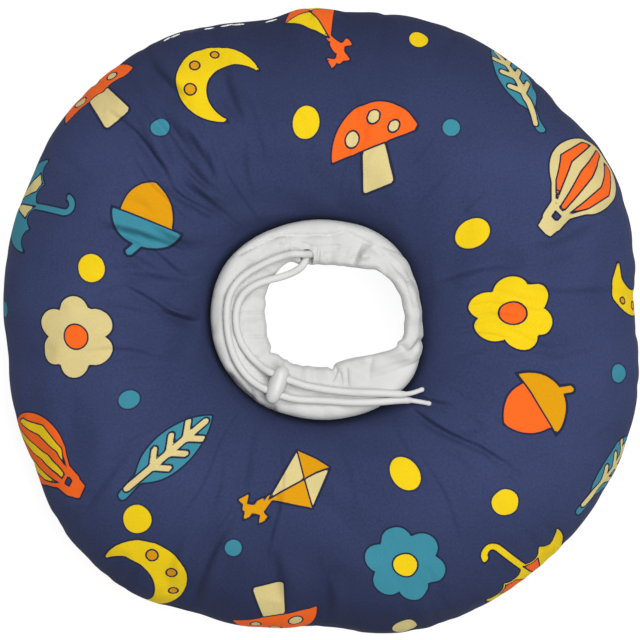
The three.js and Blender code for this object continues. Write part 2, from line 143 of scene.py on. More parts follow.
# %% [markdown]
# Each table is read by one function that draws a smooth closed curve through a column. It takes thousands of
# bearings at once, which is what numpy is for: the ring has some 100,000 points.
# %% Reading the tables
def around(rows, column, bearing):
    places = np.array([row["bearing"] for row in rows], float)
    values = np.array([row[column] for row in rows], float)
    places = np.concatenate([places[-2:] - 360, places, places[:3] + 360])
    values = np.concatenate([values[-2:], values, values[:3]])
    slopes = np.gradient(values)
    slopes[1:-1] = (values[2:] - values[:-2]) / (places[2:] - places[:-2])
    turned = np.mod(bearing, 360)
    here = np.searchsorted(places, turned, side="right") - 1
    span = places[here + 1] - places[here]
    t = (turned - places[here]) / span
    rise = values[here + 1] - values[here]
    start, end = slopes[here] * span, slopes[here + 1] * span
    return values[here] + start * t + (3 * rise - 2 * start - end) * t**2 + (start + end - 2 * rise) * t**3


def casing_fill(along):
    return np.interp(along, *[[row[column] for row in CASING_ROWS] for column in ("along", "fill")])


def mix(a, b, share):
    return a + (b - a) * share


def bell(x):
    return np.exp(-x * x)


def bearing_gap(a, b):
    return np.mod(a - b + 180, 360) - 180


def polar(bearing, radius, height):
    angle = np.radians(bearing)
    x = NECK_OFFSET[0] + radius * np.cos(angle)
    y = NECK_OFFSET[1] + radius * np.sin(angle)
    return np.stack(np.broadcast_arrays(x, y, height), axis=-1)


def seam_radius(bearing):
    return NECK_RADIUS * around(CUFF_ROWS, "seam", bearing)


def outline_radius(bearing):
    return RING_RADIUS * around(OUTLINE_ROWS, "reach", bearing)


print("widest bulge, mm:", round(float(outline_radius(np.arange(360.0)).max() / MM), 1))

# %% [markdown]
# The ring is two flat cotton panels, sewn together and filled. Where the outer seam is shorter than the cloth, it
# draws the cloth into puckers, and where the filling is slack, the upper panel falls into soft folds. Besides the
# main ones in the tables, a real seam has many small puckers, so those are drawn from a seeded random series.
# %% Puckers and folds
SMALL_PUCKERS = 90
SMALL_PUCKER_DEPTH = 1.5 * MM
SMALL_FOLDS = [(135, 24, 22), (185, 22, 14), (235, 26, 12), (5, 22, 16), (320, 18, 9), (75, 26, 8)]
SWELLS = 14
SWELL_HEIGHT = 1.1 * MM
FOLD_WANDER = 2 * MM
WANDER_LENGTH = 9 * MM
WANDER_PHASES = (1, 2.2)
FOLD_LEAN = 1.6
FOLD_TIP = 0.02
RIDGE_SHARE = 0.45
RIDGE_PLACE = 2
RIDGE_WIDTH = 1.3
random = np.random.default_rng(7)
small_puckers = [
    dict(
        bearing=random.uniform(0, 360), spread=random.uniform(0.7, 1.9),
        depth=random.uniform(0.2, 1) * SMALL_PUCKER_DEPTH, reach=random.uniform(9, 24) * MM,
    )
    for _ in range(SMALL_PUCKERS)
]
small_folds = [
    dict(
        bearing=random.normal(middle, spread), start=random.uniform(0.0, 0.35), turn=random.normal(0, 5),
        end=random.uniform(0.4, 0.72), width=random.uniform(1.3, 3.6), depth=random.uniform(0.05, 0.2),
    )
    for middle, spread, count in SMALL_FOLDS
    for _ in range(count)
]
swells = [
    dict(round=random.integers(3, 19), across=random.uniform(1, 6), phase=random.uniform(0, 2 * math.pi))
    for _ in range(SWELLS)
]


def pucker_depth(bearing, from_seam):
    depth = np.zeros(np.shape(from_seam))
    for row in PUCKER_ROWS:
        fade = np.maximum(0, 1 - from_seam / (EDGE_PUCKER_REACH * row["reach"]))
        pull = bell(bearing_gap(bearing, row["bearing"]) / row["spread"])
        depth += EDGE_PUCKER_DEPTH * row["depth"] * fade**2 * pull
    for row in small_puckers:
        fade = np.maximum(0, 1 - from_seam / row["reach"])
        depth += row["depth"] * fade * bell(bearing_gap(bearing, row["bearing"]) / row["spread"])
    return depth


def fold_depth(points):
    depth = np.zeros(len(points))
    wander = FOLD_WANDER * np.sin(points[:, 1::-1] / WANDER_LENGTH + WANDER_PHASES)
    places = points[:, :2] + wander
    for row in FOLD_ROWS + small_folds:
        ends = []
        for bearing, share in ((row["bearing"], row["start"]), (row["bearing"] + row["turn"], row["end"])):
            radius = mix(seam_radius(bearing), outline_radius(bearing), share)
            ends.append(polar(bearing, radius, 0)[:2])
        run = ends[1] - ends[0]
        away = places - ends[0]
        along = np.clip((away @ run) / (run @ run), 0, 1)
        rightwards = np.array([run[1], -run[0]]) * (1 if run[1] > 0 else -1)
        distance = np.linalg.norm(away - along[:, None] * run, axis=1)
        beside = np.sign(away @ rightwards) * distance / (row["width"] * MM)
        beside *= np.where(beside > 0, FOLD_LEAN, 1 / FOLD_LEAN)
        fade = np.sqrt(np.sin(math.pi * np.clip(along, FOLD_TIP, 1 - FOLD_TIP)))
        valley = bell(beside) - RIDGE_SHARE * bell((beside - RIDGE_PLACE) / RIDGE_WIDTH)
        depth += FOLD_DEPTH * row["depth"] * fade * valley
    return depth


def swell_height(bearing, across):
    height = np.zeros(np.shape(across))
    for row in swells:
        height += np.sin(np.radians(bearing) * row["round"] + across * row["across"] * math.pi + row["phase"])
    return height * SWELL_HEIGHT / math.sqrt(SWELLS)


# %% [markdown]
# One function gives the ring's skin. turn runs from the outer seam over the top to the neck seam and back
# underneath, on a rounded section that is pressed flat where it lies on the table.
# %% The ring's skin
SEAM_DENT = 1.3 * MM
SEAM_DENT_WIDTH = 2.2 * MM
NOTCH_SHARE = 0.35
UNDER_PUCKER = 0.5
SWELL_TURNS, SWELL_FADE, FOLD_FADE = 4, 2, 1.5


def full(value):
    return np.sign(value) * np.abs(value) ** (2 / RING_FULLNESS)


def ring_points(bearing, turn):
    across = np.cos(2 * np.pi * turn)
    up = np.sin(2 * np.pi * turn)
    inner = seam_radius(bearing)
    outer = outline_radius(bearing) - NOTCH_SHARE * pucker_depth(bearing, 0 * across)
    outward = (1 + full(across)) / 2
    radius = mix(inner, outer, outward)
    seam = mix(INNER_SEAM_HEIGHT, OUTER_SEAM_HEIGHT, outward)
    pucker = pucker_depth(bearing, np.maximum(0, outer - radius))
    points = polar(bearing, radius, 0 * radius)
    swell = swell_height(bearing, turn * SWELL_TURNS) * np.clip(np.abs(up) * SWELL_FADE, 0, 1)
    folded = fold_depth(points) * np.clip(FOLD_FADE * up, 0, 1)
    top = seam + (RING_HEIGHT - seam - pucker + swell) * full(up) - folded
    under = np.maximum(0, seam * (1 + GROUND_PRESS * full(up)) + pucker * UNDER_PUCKER)
    height = np.where(up < 0, under, top)
    dent = SEAM_DENT * bell((height - seam) / SEAM_DENT_WIDTH) * (outward > 0.5)
    return polar(bearing, radius - dent, height)


# %% [markdown]
# The cuff's cloth follows a middle line at each bearing: up from the neck seam, over the rim, and in to the free
# edge. The line is a spline through six points, and it is read by its length, so that the casing keeps its width.
# %% The cuff's middle line
LINE_STEPS = 48
WALL_BULGE = 0.1 * MM
WALL_AT, SHOULDER_AT, ROLL_AT = 0.5, 0.88, 0.45
SHOULDER_IN, ROLL_IN = 0.15, 0.5
RIM_GATHER = 0.4


def spline(points, steps):
    """A Catmull-Rom spline through points with the shape (count, ..., 2 or 3)."""
    padded = np.concatenate([points[:1], points, points[-1:]])
    made = []
    for k in range(len(points) - 1):
        p0, p1, p2, p3 = padded[k : k + 4]
        v0, v1 = (p2 - p0) / 2, (p3 - p1) / 2
        for step in range(steps):
            t = step / steps
            made.append((2 * p1 - 2 * p2 + v0 + v1) * t**3 + (3 * p2 - 3 * p1 - 2 * v0 - v1) * t**2 + v0 * t + p1)
    made.append(points[-1])
    return np.array(made)


def cuff_lines(bearing):
    """Radius and height along the cuff's middle line, with the shape (samples, bearings, 2), and its lengths."""
    seam = seam_radius(bearing) - SEAM_GAP - CUFF_WALL / 2
    rim = NECK_RADIUS * around(CUFF_ROWS, "rim", bearing)
    edge = NECK_RADIUS * around(CUFF_ROWS, "edge", bearing)
    gather = GATHER_DEPTH * np.sin(np.radians(bearing * GATHER_COUNT))
    rim_height = RIM_RISE * around(CUFF_ROWS, "rise", bearing)
    edge_height = EDGE_RISE * around(CUFF_ROWS, "edge_rise", bearing) + gather
    low = INNER_SEAM_HEIGHT
    points = np.array([
        [seam, low + 0 * seam],
        [seam + WALL_BULGE, low + rim_height * WALL_AT],
        [mix(seam, rim, SHOULDER_IN), low + rim_height * SHOULDER_AT],
        [rim, low + rim_height + gather * RIM_GATHER],
        [mix(rim, edge, ROLL_IN), low + mix(rim_height, edge_height, ROLL_AT)],
        [edge, low + edge_height],
    ])
    line = spline(np.moveaxis(points, 1, 2), LINE_STEPS)
    steps = np.linalg.norm(np.diff(line, axis=0), axis=2)
    length = np.concatenate([np.zeros((1, steps.shape[1])), np.cumsum(steps, axis=0)])
    return line, length


def cuff_points(bearing, distance, off):
    """Places at a distance along the cloth and off it, towards its outer side. A row for each bearing."""
    line, length = cuff_lines(bearing)
    made = np.empty((len(bearing), distance.shape[1], 2))
    for k in range(len(bearing)):
        at = np.clip(distance[k], 0, length[-1, k])
        place = [np.interp(at, length[:, k], line[:, k, axis]) for axis in (0, 1)]
        slope = [np.interp(at, length[:, k], np.gradient(line[:, k, axis], length[:, k])) for axis in (0, 1)]
        norm = np.hypot(*slope)
        made[k, :, 0] = place[0] + slope[1] / norm * off[k]
        made[k, :, 1] = place[1] - slope[0] / norm * off[k]
    return polar(np.asarray(bearing)[:, None], made[:, :, 0], made[:, :, 1])


def casing_middle(bearing, along=CORD_ALONG):
    bearing = np.atleast_1d(np.asarray(bearing, float))
    length = cuff_lines(bearing)[1][-1]
    distance = length - CASING_WIDTH * (1 - along)
    return cuff_points(bearing, distance[:, None], np.zeros((len(bearing), 1)))[:, 0]


bearings = np.arange(0, 360, 5.0)
cuff_widths = cuff_lines(bearings)[1][-1]
print("cuff cloth from seam to edge, mm:", np.round([cuff_widths.min() / MM, cuff_widths.max() / MM], 1))

# %% [markdown]
# The drawstring is one cord, so its route is settled before anything is laid round it. It runs the whole way
# round inside the casing, and both strands come out at the break. The free strands are lists of places seen from
# above, and each place gets its height from what the strand lies on there.
# %% The drawstring's route
OUTER_STRAND = named_rows("x y lift", [
    (-4.6, 30.4, -1), (-10, 30.9, 1.8), (-15, 29.9, 0), (-21, 27.7, 0.3), (-27.5, 24.5, 0.2), (-33.9, 20.5, 0),
    (-38.4, 15.6, 0), (-40.9, 10, 0), (-41.6, 3.6, 0), (-41.3, -4.3, 0), (-40.2, -10.7, 0), (-38.1, -17, 0),
    (-34.5, -23.4, 0), (-29.5, -28.6, 0.4),
])
TURN_ROWS = named_rows("bearing along", [(114, 0.56), (108.5, 0.48), (103, 0.46), (99, 0.58)])
INNER_STRAND = named_rows("x y lift", [
    (-5, 26.8, -0.6), (-7.9, 23.6, 1.4), (-13.2, 21, 2.6), (-19.4, 19.2, 3.4), (-25.5, 17.6, 0.6),
    (-31.6, 14.3, 0.3), (-35.4, 10.2, 0), (-37.1, 5, 0), (-37.4, 0, 0), (-36.6, -5.9, 0), (-34.4, -11.5, 0),
    (-30.5, -17, 0.3), (-26, -21.2, 0.6),
])
OUTER_TAIL = named_rows("x y lift", [
    (-8.6, -36.9, 0.3), (2.8, -37.4, 0.2), (14.8, -38.2, 0.2), (24, -38.2, 0.2), (33, -37.7, 0), (40.5, -37.1, 0.2),
    (46, -37.7, 0), (53.4, -39, -0.5),
])
INNER_TAIL = named_rows("x y lift", [
    (-6, -30.2, 0.6), (4.4, -32.2, 0.3), (14.8, -33.4, 0.3), (24, -33.7, 0.4), (33, -34, 0.6), (39.5, -34.5, 1.2),
    (44, -34.2, 1.4), (50, -32, 0.2),
])
DIP_WIDTH = 8 * MM
LOCK_LENGTH = 18.4 * MM
LOCK_WIDTH = 8.4 * MM
LOCK_HOLE_SPACING = 8 * MM
LOCK_TURN = -21
LOCK_MOUTH = 0.6
HIDDEN_POINTS = 41
FACE_SAMPLES = 60


def face_height(bearing, radius):
    bearing = np.array([bearing])
    if radius < seam_radius(bearing)[0]:
        length = cuff_lines(bearing)[1][-1, 0]
        along = np.linspace(0, length, FACE_SAMPLES)
        casing = np.clip(1 - (length - along) / CASING_WIDTH, 0, 1)
        half = np.where(casing > 0, CUFF_WALL + CASING_HALF * casing_fill(casing), CUFF_WALL / 2)
        face = cuff_points(bearing, along[None], half[None])[0]
    else:
        turns = np.linspace(0, 0.5, FACE_SAMPLES)
        face = ring_points(np.full(FACE_SAMPLES, bearing[0]), turns)
    radii = np.hypot(face[:, 0] - NECK_OFFSET[0], face[:, 1] - NECK_OFFSET[1])
    heights = [
        mix(face[k, 2], face[k + 1, 2], (radius - radii[k]) / (radii[k + 1] - radii[k]))
        for k in range(len(face) - 1)
        if min(radii[k], radii[k + 1]) <= radius < max(radii[k], radii[k + 1])
    ]
    return max(heights, default=face[-1, 2])


def surface_height(x, y):
    """The height that a strand lies at over a place. It bridges the dip between the cuff's rim and the ring."""
    bearing = math.degrees(math.atan2(y, x))
    radius = math.hypot(x, y)
    rim = NECK_RADIUS * around(CUFF_ROWS, "rim", bearing)
    shore = seam_radius(bearing) + DIP_WIDTH
    if radius < rim or radius > shore:
        return face_height(bearing, radius)
    return mix(face_height(bearing, rim), face_height(bearing, shore), (radius - rim) / (shore - rim))


def laid(row):
    x, y = row["x"] * MM, row["y"] * MM
    height = surface_height(x, y) + CORD_DIAMETER / 2 + REST_GAP + row["lift"] * MM
    return np.array([x + NECK_OFFSET[0], y + NECK_OFFSET[1], height])


lock_low, lock_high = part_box("cord_lock")
lock_middle = np.array((lock_low + lock_high) / 2)
lock_axis = np.array([math.cos(math.radians(LOCK_TURN)), math.sin(math.radians(LOCK_TURN)), 0])
lock_long = np.array([-lock_axis[1], lock_axis[0], 0])


def in_lock(side, along):
    return lock_middle + lock_long * side * LOCK_HOLE_SPACING / 2 + lock_axis * along * LOCK_WIDTH


hidden_start = BREAK_FROM + MOUTH_RUN
hidden_loop = 360 - (TURN_FROM - hidden_start)
hidden = casing_middle(hidden_start - hidden_loop * np.linspace(0, 1, HIDDEN_POINTS))
route = np.array([
    *[laid(row) for row in reversed(OUTER_TAIL)],
    in_lock(-1, LOCK_MOUTH), in_lock(-1, -LOCK_MOUTH),
    *[laid(row) for row in reversed(OUTER_STRAND)],
    *hidden,
    *[casing_middle(row["bearing"], row["along"])[0] for row in TURN_ROWS],
    *[laid(row) for row in INNER_STRAND],
    in_lock(1, -LOCK_MOUTH), in_lock(1, LOCK_MOUTH),
    *[laid(row) for row in INNER_TAIL],
])
CORD_STEPS = 6
CORD_SPACING = 0.9 * MM
EASING_ROUNDS = 14
BEND_SPAN = 4


def along_route(path, spacing):
    """The same route with evenly spaced points, and how far along it each one is."""
    steps = np.linalg.norm(np.diff(path, axis=0), axis=1)
    distance = np.concatenate([[0], np.cumsum(steps)])
    count = int(round(distance[-1] / spacing))
    at = np.linspace(0, distance[-1], count + 1)
    return np.stack([np.interp(at, distance, path[:, axis]) for axis in range(3)], axis=1), at


cord_path = along_route(spline(route, CORD_STEPS), CORD_SPACING)[0]
for _ in range(EASING_ROUNDS):
    cord_path[1:-1] = (cord_path[:-2] + 2 * cord_path[1:-1] + cord_path[2:]) / 4
a, b, c = cord_path[: -2 * BEND_SPAN], cord_path[BEND_SPAN:-BEND_SPAN], cord_path[2 * BEND_SPAN :]
sides = np.linalg.norm(a - b, axis=1) * np.linalg.norm(b - c, axis=1) * np.linalg.norm(c - a, axis=1)
bends = sides / np.maximum(2 * np.linalg.norm(np.cross(b - a, c - a), axis=1), 1e-12)
print("drawstring length, mm:", round(along_route(cord_path, CORD_SPACING)[1][-1] / MM, 1))
print("tightest bend, mm:", round(float(bends.min() / MM), 1))

# %% [markdown]
# Finishes come next. A colour is written as a hex value, as it is seen on a screen, and turned to the linear value
# that Blender's shaders work in. One function adds a node with its settings and links, and a few short ones add the
# kinds of node that the finishes share.
# %% Helpers for the finishes
def linear(hex_colour):
    parts = [int(hex_colour[k : k + 2], 16) / 255 for k in (1, 3, 5)]
    return tuple(c / 12.92 if c <= 0.04045 else ((c + 0.055) / 1.055) ** 2.4 for c in parts) + (1,)


def add(tree, kind, inputs=None, **settings):
    made = tree.nodes.new(kind)
    for name, value in settings.items():
        setattr(made, name, value)
    for socket, value in (inputs or {}).items():
        if isinstance(value, bpy.types.NodeSocket):
            tree.links.new(value, made.inputs[socket])
        else:
            made.inputs[socket].default_value = value
    return made


def stored(tree, name, output="Fac"):
    return add(tree, "ShaderNodeAttribute", attribute_name=name).outputs[output]


def place_in(tree, space):
    return add(tree, "ShaderNodeTexCoord").outputs[space]


def noise(tree, place, scale, detail, **more):
    return add(tree, "ShaderNodeTexNoise", {"Vector": place, "Scale": scale, "Detail": detail, **more}).outputs["Fac"]


def wave(tree, place, spacing, direction, **more):
    """Bands across a direction, one for each spacing in metres."""
    inputs = {"Vector": place, "Scale": 2 * math.pi / (20 * spacing), **more}
    return add(tree, "ShaderNodeTexWave", inputs, bands_direction=direction).outputs["Fac"]


def calc(tree, operation, *values):
    return add(tree, "ShaderNodeMath", dict(enumerate(values)), operation=operation).outputs[0]


def ramp(tree, value, low, high, to_low=0, to_high=1):
    inputs = {"Value": value, "From Min": low, "From Max": high, "To Min": to_low, "To Max": to_high}
    return add(tree, "ShaderNodeMapRange", inputs).outputs[0]


def blend(tree, share, low, high):
    """One colour passing into another. Each is a hex value or the output of a node."""
    low, high = [linear(colour) if isinstance(colour, str) else colour for colour in (low, high)]
    return add(tree, "ShaderNodeMix", {"Factor": share, 6: low, 7: high}, data_type="RGBA").outputs[2]


def toned(tree, colour, value):
    return add(tree, "ShaderNodeHueSaturation", {"Color": colour, "Value": value}).outputs["Color"]


def bump(tree, height, strength, depth, under=None):
    inputs = {"Strength": strength, "Distance": depth, "Height": height}
    if under is not None:
        inputs["Normal"] = under
    return add(tree, "ShaderNodeBump", inputs).outputs[0]


def finish(name, **shader):
    material = bpy.data.materials.new(name)
    material.use_nodes = True
    for socket, value in shader.items():
        material.node_tree.nodes["Principled BSDF"].inputs[socket.replace("_", " ")].default_value = value
    return material, material.node_tree


def wear(tree, colour, normal=None):
    """Gives the shader its colour and its bumps."""
    surface = tree.nodes["Principled BSDF"]
    tree.links.new(colour, surface.inputs["Base Color"])
    if normal is not None:
        tree.links.new(normal, surface.inputs["Normal"])


# %% [markdown]
# Printed cotton. The ground is a dark blue weave with a dull surface and a faint nap. Each motif is drawn as
# a distance on the cloth, stored on the mesh, so its edge stays sharp between the points of the mesh. The threads
# are really 0.3 mm apart, and they are drawn at 0.9 mm, which is as fine as the picture can show. The ground also
# has painted shade: it is darker near the neck seam, where the cuff shades the ring, and darker towards two
# opposite sides, standing in for the shade that falls on the ring's slopes there.
# %% Printed cotton
COTTON_BLUE = "#3B446A"
COTTON_DEEP = "#31395B"
INK_LINE = "#232840"
THREAD_SPACING = 0.9 * MM
INK_SOFTNESS = 0.12
LINE_WIDTH = 0.8
PATCHINESS = (0.6, 1.4)
WEAR = (0.93, 1.07)
# Painted shade: how far the ground is darkened near the neck seam and towards the two sides along y.
NECK_SHADE, NECK_SHADE_FROM, NECK_SHADE_TO = 0.74, 50 * MM, 95 * MM
SIDE_SHADE, SIDE_SHADE_FROM, SIDE_SHADE_TO = 0.5, 72 * MM, 165 * MM

cotton, tree = finish(
    "printed_cotton_cloth", Roughness=0.9, Sheen_Weight=0.02, Sheen_Roughness=0.5, Specular_IOR_Level=0.12,
)
cloth = stored(tree, "cloth_place", "Vector")
patches = noise(tree, cloth, scale=22, detail=4, Roughness=0.6)
specks = noise(tree, cloth, scale=900, detail=2)
inked = blend(tree, ramp(tree, calc(tree, "ADD", patches, specks), *PATCHINESS), COTTON_DEEP, COTTON_BLUE)
radius = add(tree, "ShaderNodeVectorMath", {0: cloth}, operation="LENGTH").outputs["Value"]
# Painted shade in the ground's colour: darker near the neck seam and towards the two sides far along y.
painted_neck_shade = ramp(tree, radius, NECK_SHADE_FROM, NECK_SHADE_TO, NECK_SHADE, 1)
aside = calc(tree, "ABSOLUTE", add(tree, "ShaderNodeSeparateXYZ", {"Vector": cloth}).outputs["Y"])
painted_side_shade = ramp(tree, aside, SIDE_SHADE_FROM, SIDE_SHADE_TO, 1, SIDE_SHADE)
inked = toned(tree, inked, calc(tree, "MULTIPLY", painted_neck_shade, painted_side_shade))
lines = []
for shape, line_at in (("main", -LINE_WIDTH / 2), ("detail", 0)):
    edge = stored(tree, shape + "_edge")
    covered = ramp(tree, edge, -INK_SOFTNESS, INK_SOFTNESS, 1, 0)
    inked = blend(tree, covered, inked, stored(tree, shape + "_ink", "Color"))
    away = calc(tree, "ABSOLUTE", calc(tree, "ADD", edge, line_at))
    lines.append(ramp(tree, away, LINE_WIDTH / 2 - INK_SOFTNESS, LINE_WIDTH / 2 + INK_SOFTNESS, 1, 0))
drawn = calc(tree, "MULTIPLY", calc(tree, "MAXIMUM", *lines), stored(tree, "outlined"))
inked = blend(tree, drawn, inked, INK_LINE)
faded = toned(tree, inked, ramp(tree, specks, 0, 1, *WEAR))
weave = calc(tree, "MULTIPLY", *[wave(tree, cloth, THREAD_SPACING, direction) for direction in "XY"])
crumpled = bump(tree, noise(tree, cloth, scale=90, detail=3), strength=0.18, depth=1.5 * MM)
wear(tree, faded, bump(tree, weave, strength=0.25, depth=0.15 * MM, under=crumpled))
print("finish:", cotton.name)

# %% [markdown]
# Cotton jersey, the knitted cloth of the cuff. It is soft, white and very dull, and lets a little light through,
# so its folds never go dark. The ribs of the knit run from the seam to the edge, 1 mm apart as drawn.
# %% Cotton jersey
JERSEY_WHITE = "#D4D4D3"
JERSEY_SHADE = "#CACAC9"
RIB_SPACING = 1.0 * MM

jersey, tree = finish(
    "cotton_jersey_knit", Roughness=0.93, Sheen_Weight=0.2, Subsurface_Weight=0.09, Subsurface_Scale=1,
    Subsurface_Radius=(5 * MM, 5 * MM, 5 * MM), Specular_IOR_Level=0.2,
)
knit = place_in(tree, "UV")
colour = blend(tree, noise(tree, knit, scale=60, detail=4), JERSEY_SHADE, JERSEY_WHITE)
ribs = wave(tree, knit, RIB_SPACING, "X", **{"Distortion": 0.6, "Detail Scale": 3})
ribbed = bump(tree, ribs, strength=0.25, depth=0.2 * MM)
slack = noise(tree, knit, scale=120, detail=2)
wear(tree, colour, bump(tree, slack, strength=0.3, depth=0.8 * MM, under=ribbed))
print("finish:", jersey.name)

# %% [markdown]
# Braided elastic. The cover of the cord is plaited from fine white yarns that cross on a slant. Two sets of bands,
# one leaning each way, are multiplied to give the small lozenges of a plait, and the grooves between them are
# painted a little darker, as painted shade.
# %% Braided elastic
ELASTIC_WHITE = "#DADAD9"
ELASTIC_GROOVE_SHADE = "#D0D0CE"
PLAIT_LENGTH = 1.1 * MM
PLAIT_LEAN = 38

elastic, tree = finish(
    "braided_elastic_cord", Roughness=0.75, Sheen_Weight=0.15, Subsurface_Weight=0.08, Subsurface_Scale=1,
    Subsurface_Radius=(2 * MM, 2 * MM, 2 * MM),
)
along_cord = place_in(tree, "UV")
plaits = []
for lean in (PLAIT_LEAN, -PLAIT_LEAN):
    slant = add(tree, "ShaderNodeMapping", {"Vector": along_cord, "Rotation": (0, 0, math.radians(lean))})
    plaits.append(wave(tree, slant.outputs[0], PLAIT_LENGTH, "X"))
plait = calc(tree, "MULTIPLY", *plaits)
braid = bump(tree, plait, strength=0.1, depth=0.15 * MM)
# Painted shade: the grooves between the plait's lozenges get the darker white.
wear(tree, blend(tree, plait, ELASTIC_GROOVE_SHADE, ELASTIC_WHITE), braid)
print("finish:", elastic.name)

# %% [markdown]
# Moulded plastic for the lock: white, satin, with the faint unevenness of a tumbled moulding. The sewing thread is
# spun polyester, brighter than the cloth it holds, with a twist to it whose grooves have painted shade.
# %% Plastic and thread
PLASTIC_SHADE, PLASTIC_WHITE = "#C9C9C8", "#D3D3D2"
THREAD_GROOVE_SHADE, THREAD_WHITE = "#D9D9D6", "#EDEDEA"
TWIST_LENGTH = 1 * MM

plastic, tree = finish("moulded_satin_plastic", Roughness=0.38, IOR=1.49)
cast = noise(tree, place_in(tree, "Object"), scale=240, detail=3)
wear(tree, blend(tree, cast, PLASTIC_SHADE, PLASTIC_WHITE), bump(tree, cast, strength=0.12, depth=0.2 * MM))

thread, tree = finish("spun_polyester_thread", Roughness=0.6, Sheen_Weight=0.1)
twist = wave(tree, place_in(tree, "Object"), TWIST_LENGTH, "DIAGONAL")
# Painted shade: the grooves of the twist get the darker thread colour.
wear(tree, blend(tree, twist, THREAD_GROOVE_SHADE, THREAD_WHITE))
print("finishes:", plastic.name, thread.name)

# %% [markdown]
# Cloth starts as a flat grid, as real cloth does. Its x runs round the collar and its y across the cloth, both
# from 0 to 1. The grid is then bent into shape by moving its points, and its two ends are merged into a tube.
# %% Bending a grid of cloth
MERGE_WITHIN = 0.001 * MM


def cloth_grid(round_count, across_count):
    bm = bmesh.new()
    bmesh.ops.create_grid(bm, x_segments=round_count, y_segments=across_count, size=0.5)
    bmesh.ops.translate(bm, verts=bm.verts, vec=(0.5, 0.5, 0))
    kept = bm.verts.layers.float_vector.new("grid_place")
    for vertex in bm.verts:
        vertex[kept] = vertex.co
    return bm


def grid_places(bm):
    return np.array([vertex.co[:2] for vertex in bm.verts])


def move_points(bm, points):
    for vertex, point in zip(bm.verts, points):
        vertex.co = point


def read_points(mesh, name):
    values = np.empty(len(mesh.vertices) * 3, np.float32)
    mesh.attributes[name].data.foreach_get("vector", values)
    return values.reshape(-1, 3).astype(float)


def map_cloth(bm, width, length):
    """Gives the grid a UV map in metres."""
    layer = bm.loops.layers.uv.new("cloth")
    kept = bm.verts.layers.float_vector["grid_place"]
    for face in bm.faces:
        for loop in face.loops:
            place = loop.vert[kept]
            loop[layer].uv = (place[0] * width, place[1] * length)


def new_object(name, bm):
    mesh = bpy.data.meshes.new(name)
    bm.to_mesh(mesh)
    bm.free()
    made = bpy.data.objects.new(name, mesh)
    bpy.context.scene.collection.objects.link(made)
    return made


def close_up(bm):
    """Merges the ends of a rolled grid and turns its faces outwards."""
    bmesh.ops.remove_doubles(bm, verts=bm.verts, dist=MERGE_WITHIN)
    bmesh.ops.recalc_face_normals(bm, faces=bm.faces)


def made_object(name, bm, material):
    close_up(bm)
    piece = new_object(name, bm)
    piece.data.shade_smooth()
    piece.data.materials.append(material)
    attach(piece, "root")
    print(name, "faces:", len(piece.data.polygons))
    return piece


# %% [markdown]
# The print. Each motif is made of plain shapes, and each shape is a distance in millimetres from its edge, negative
# inside. Joining two shapes takes the lesser distance, and cutting one from another takes the greater. The motifs
# here are garden and sky things in the orange, yellow, cream and teal of the cloth.
# %% Plain shapes as distances
def disc(p, x, y, radius):
    return np.hypot(p[:, 0] - x, p[:, 1] - y) - radius


def bar(p, start, end, radius):
    start, end = np.array(start), np.array(end)
    run = end - start
    along = np.clip(((p - start) @ run) / (run @ run), 0, 1)
    return np.linalg.norm(p - start - along[:, None] * run, axis=1) - radius


def polygon(p, corners):
    corners = np.array(corners, float)
    away = np.full(len(p), np.inf)
    inside = np.zeros(len(p), bool)
    for a, b in zip(corners, np.roll(corners, -1, axis=0)):
        away = np.minimum(away, bar(p, a, b, 0))
        crosses = (a[1] > p[:, 1]) != (b[1] > p[:, 1])
        rise = b[1] - a[1] if b[1] != a[1] else 1
        inside ^= crosses & (p[:, 0] < a[0] + (b[0] - a[0]) * (p[:, 1] - a[1]) / rise)
    return np.where(inside, -away, away)


def join(*shapes):
    return np.minimum.reduce(shapes)


def meet(*shapes):
    return np.maximum.reduce(shapes)


def cut(shape, *holes):
    return meet(shape, *[-hole for hole in holes])


FAR = 9.0


# %% [markdown]
# Each motif is about two units high, and gives its main shape and its detail.
# %% The motifs
ARC_STEPS = 24


def arc(x, y, radius, start, end):
    turns = np.radians(np.linspace(start, end, ARC_STEPS))
    return [(x + radius * math.cos(turn), y + radius * math.sin(turn)) for turn in turns]


def crescent(p):
    moon = polygon(p, arc(0, 0, 0.97, 55, 305) + arc(0.5, 0, 0.79, 276, 84)) - 0.03
    spots = join(disc(p, -0.7, 0.1, 0.12), disc(p, -0.5, -0.5, 0.14), disc(p, -0.48, 0.62, 0.1))
    return moon, spots


def toadstool(p):
    cap = meet(disc(p, 0, -0.1, 1), -p[:, 1] - 0.02)
    stem = polygon(p, [(-0.18, 0.02), (0.18, 0.02), (0.28, -0.85), (-0.28, -0.85)]) - 0.08
    spots = join(disc(p, -0.45, 0.28, 0.17), disc(p, 0.1, 0.56, 0.15), disc(p, 0.5, 0.22, 0.13))
    return join(cap, stem), join(cut(stem, cap - 0.02), spots)


def leaf(p):
    blade = polygon(p, arc(-0.75, 0, 1.12, -48, 48) + arc(0.75, 0, 1.12, 132, 228)) - 0.03
    veins = [bar(p, (0, -1.1), (0, 0.72), 0.08)]
    for low in (-0.42, -0.06, 0.3):
        veins += [bar(p, (0, low), (side * 0.25, low + 0.2), 0.07) for side in (-1, 1)]
    return join(blade, bar(p, (0, -0.8), (0.06, -1.25), 0.09)), join(*veins)


def balloon(p):
    bag = join(disc(p, 0, 0.3, 0.7), polygon(p, [(-0.62, 0.02), (0.62, 0.02), (0.18, -0.6), (-0.18, -0.6)]))
    swell = 0.74 - 0.5 * np.abs(p[:, 1] - 0.3)
    stripes = join(*[np.abs(p[:, 0] - k * swell * 0.62) - swell * 0.15 for k in (-1, 0, 1)])
    basket = polygon(p, [(-0.2, -0.74), (0.2, -0.74), (0.15, -1), (-0.15, -1)])
    ropes = join(*[bar(p, (x, -0.55), (x * 0.9, -0.78), 0.07) for x in (-0.16, 0.16)])
    return join(bag, basket, ropes), meet(stripes, bag + 0.08)


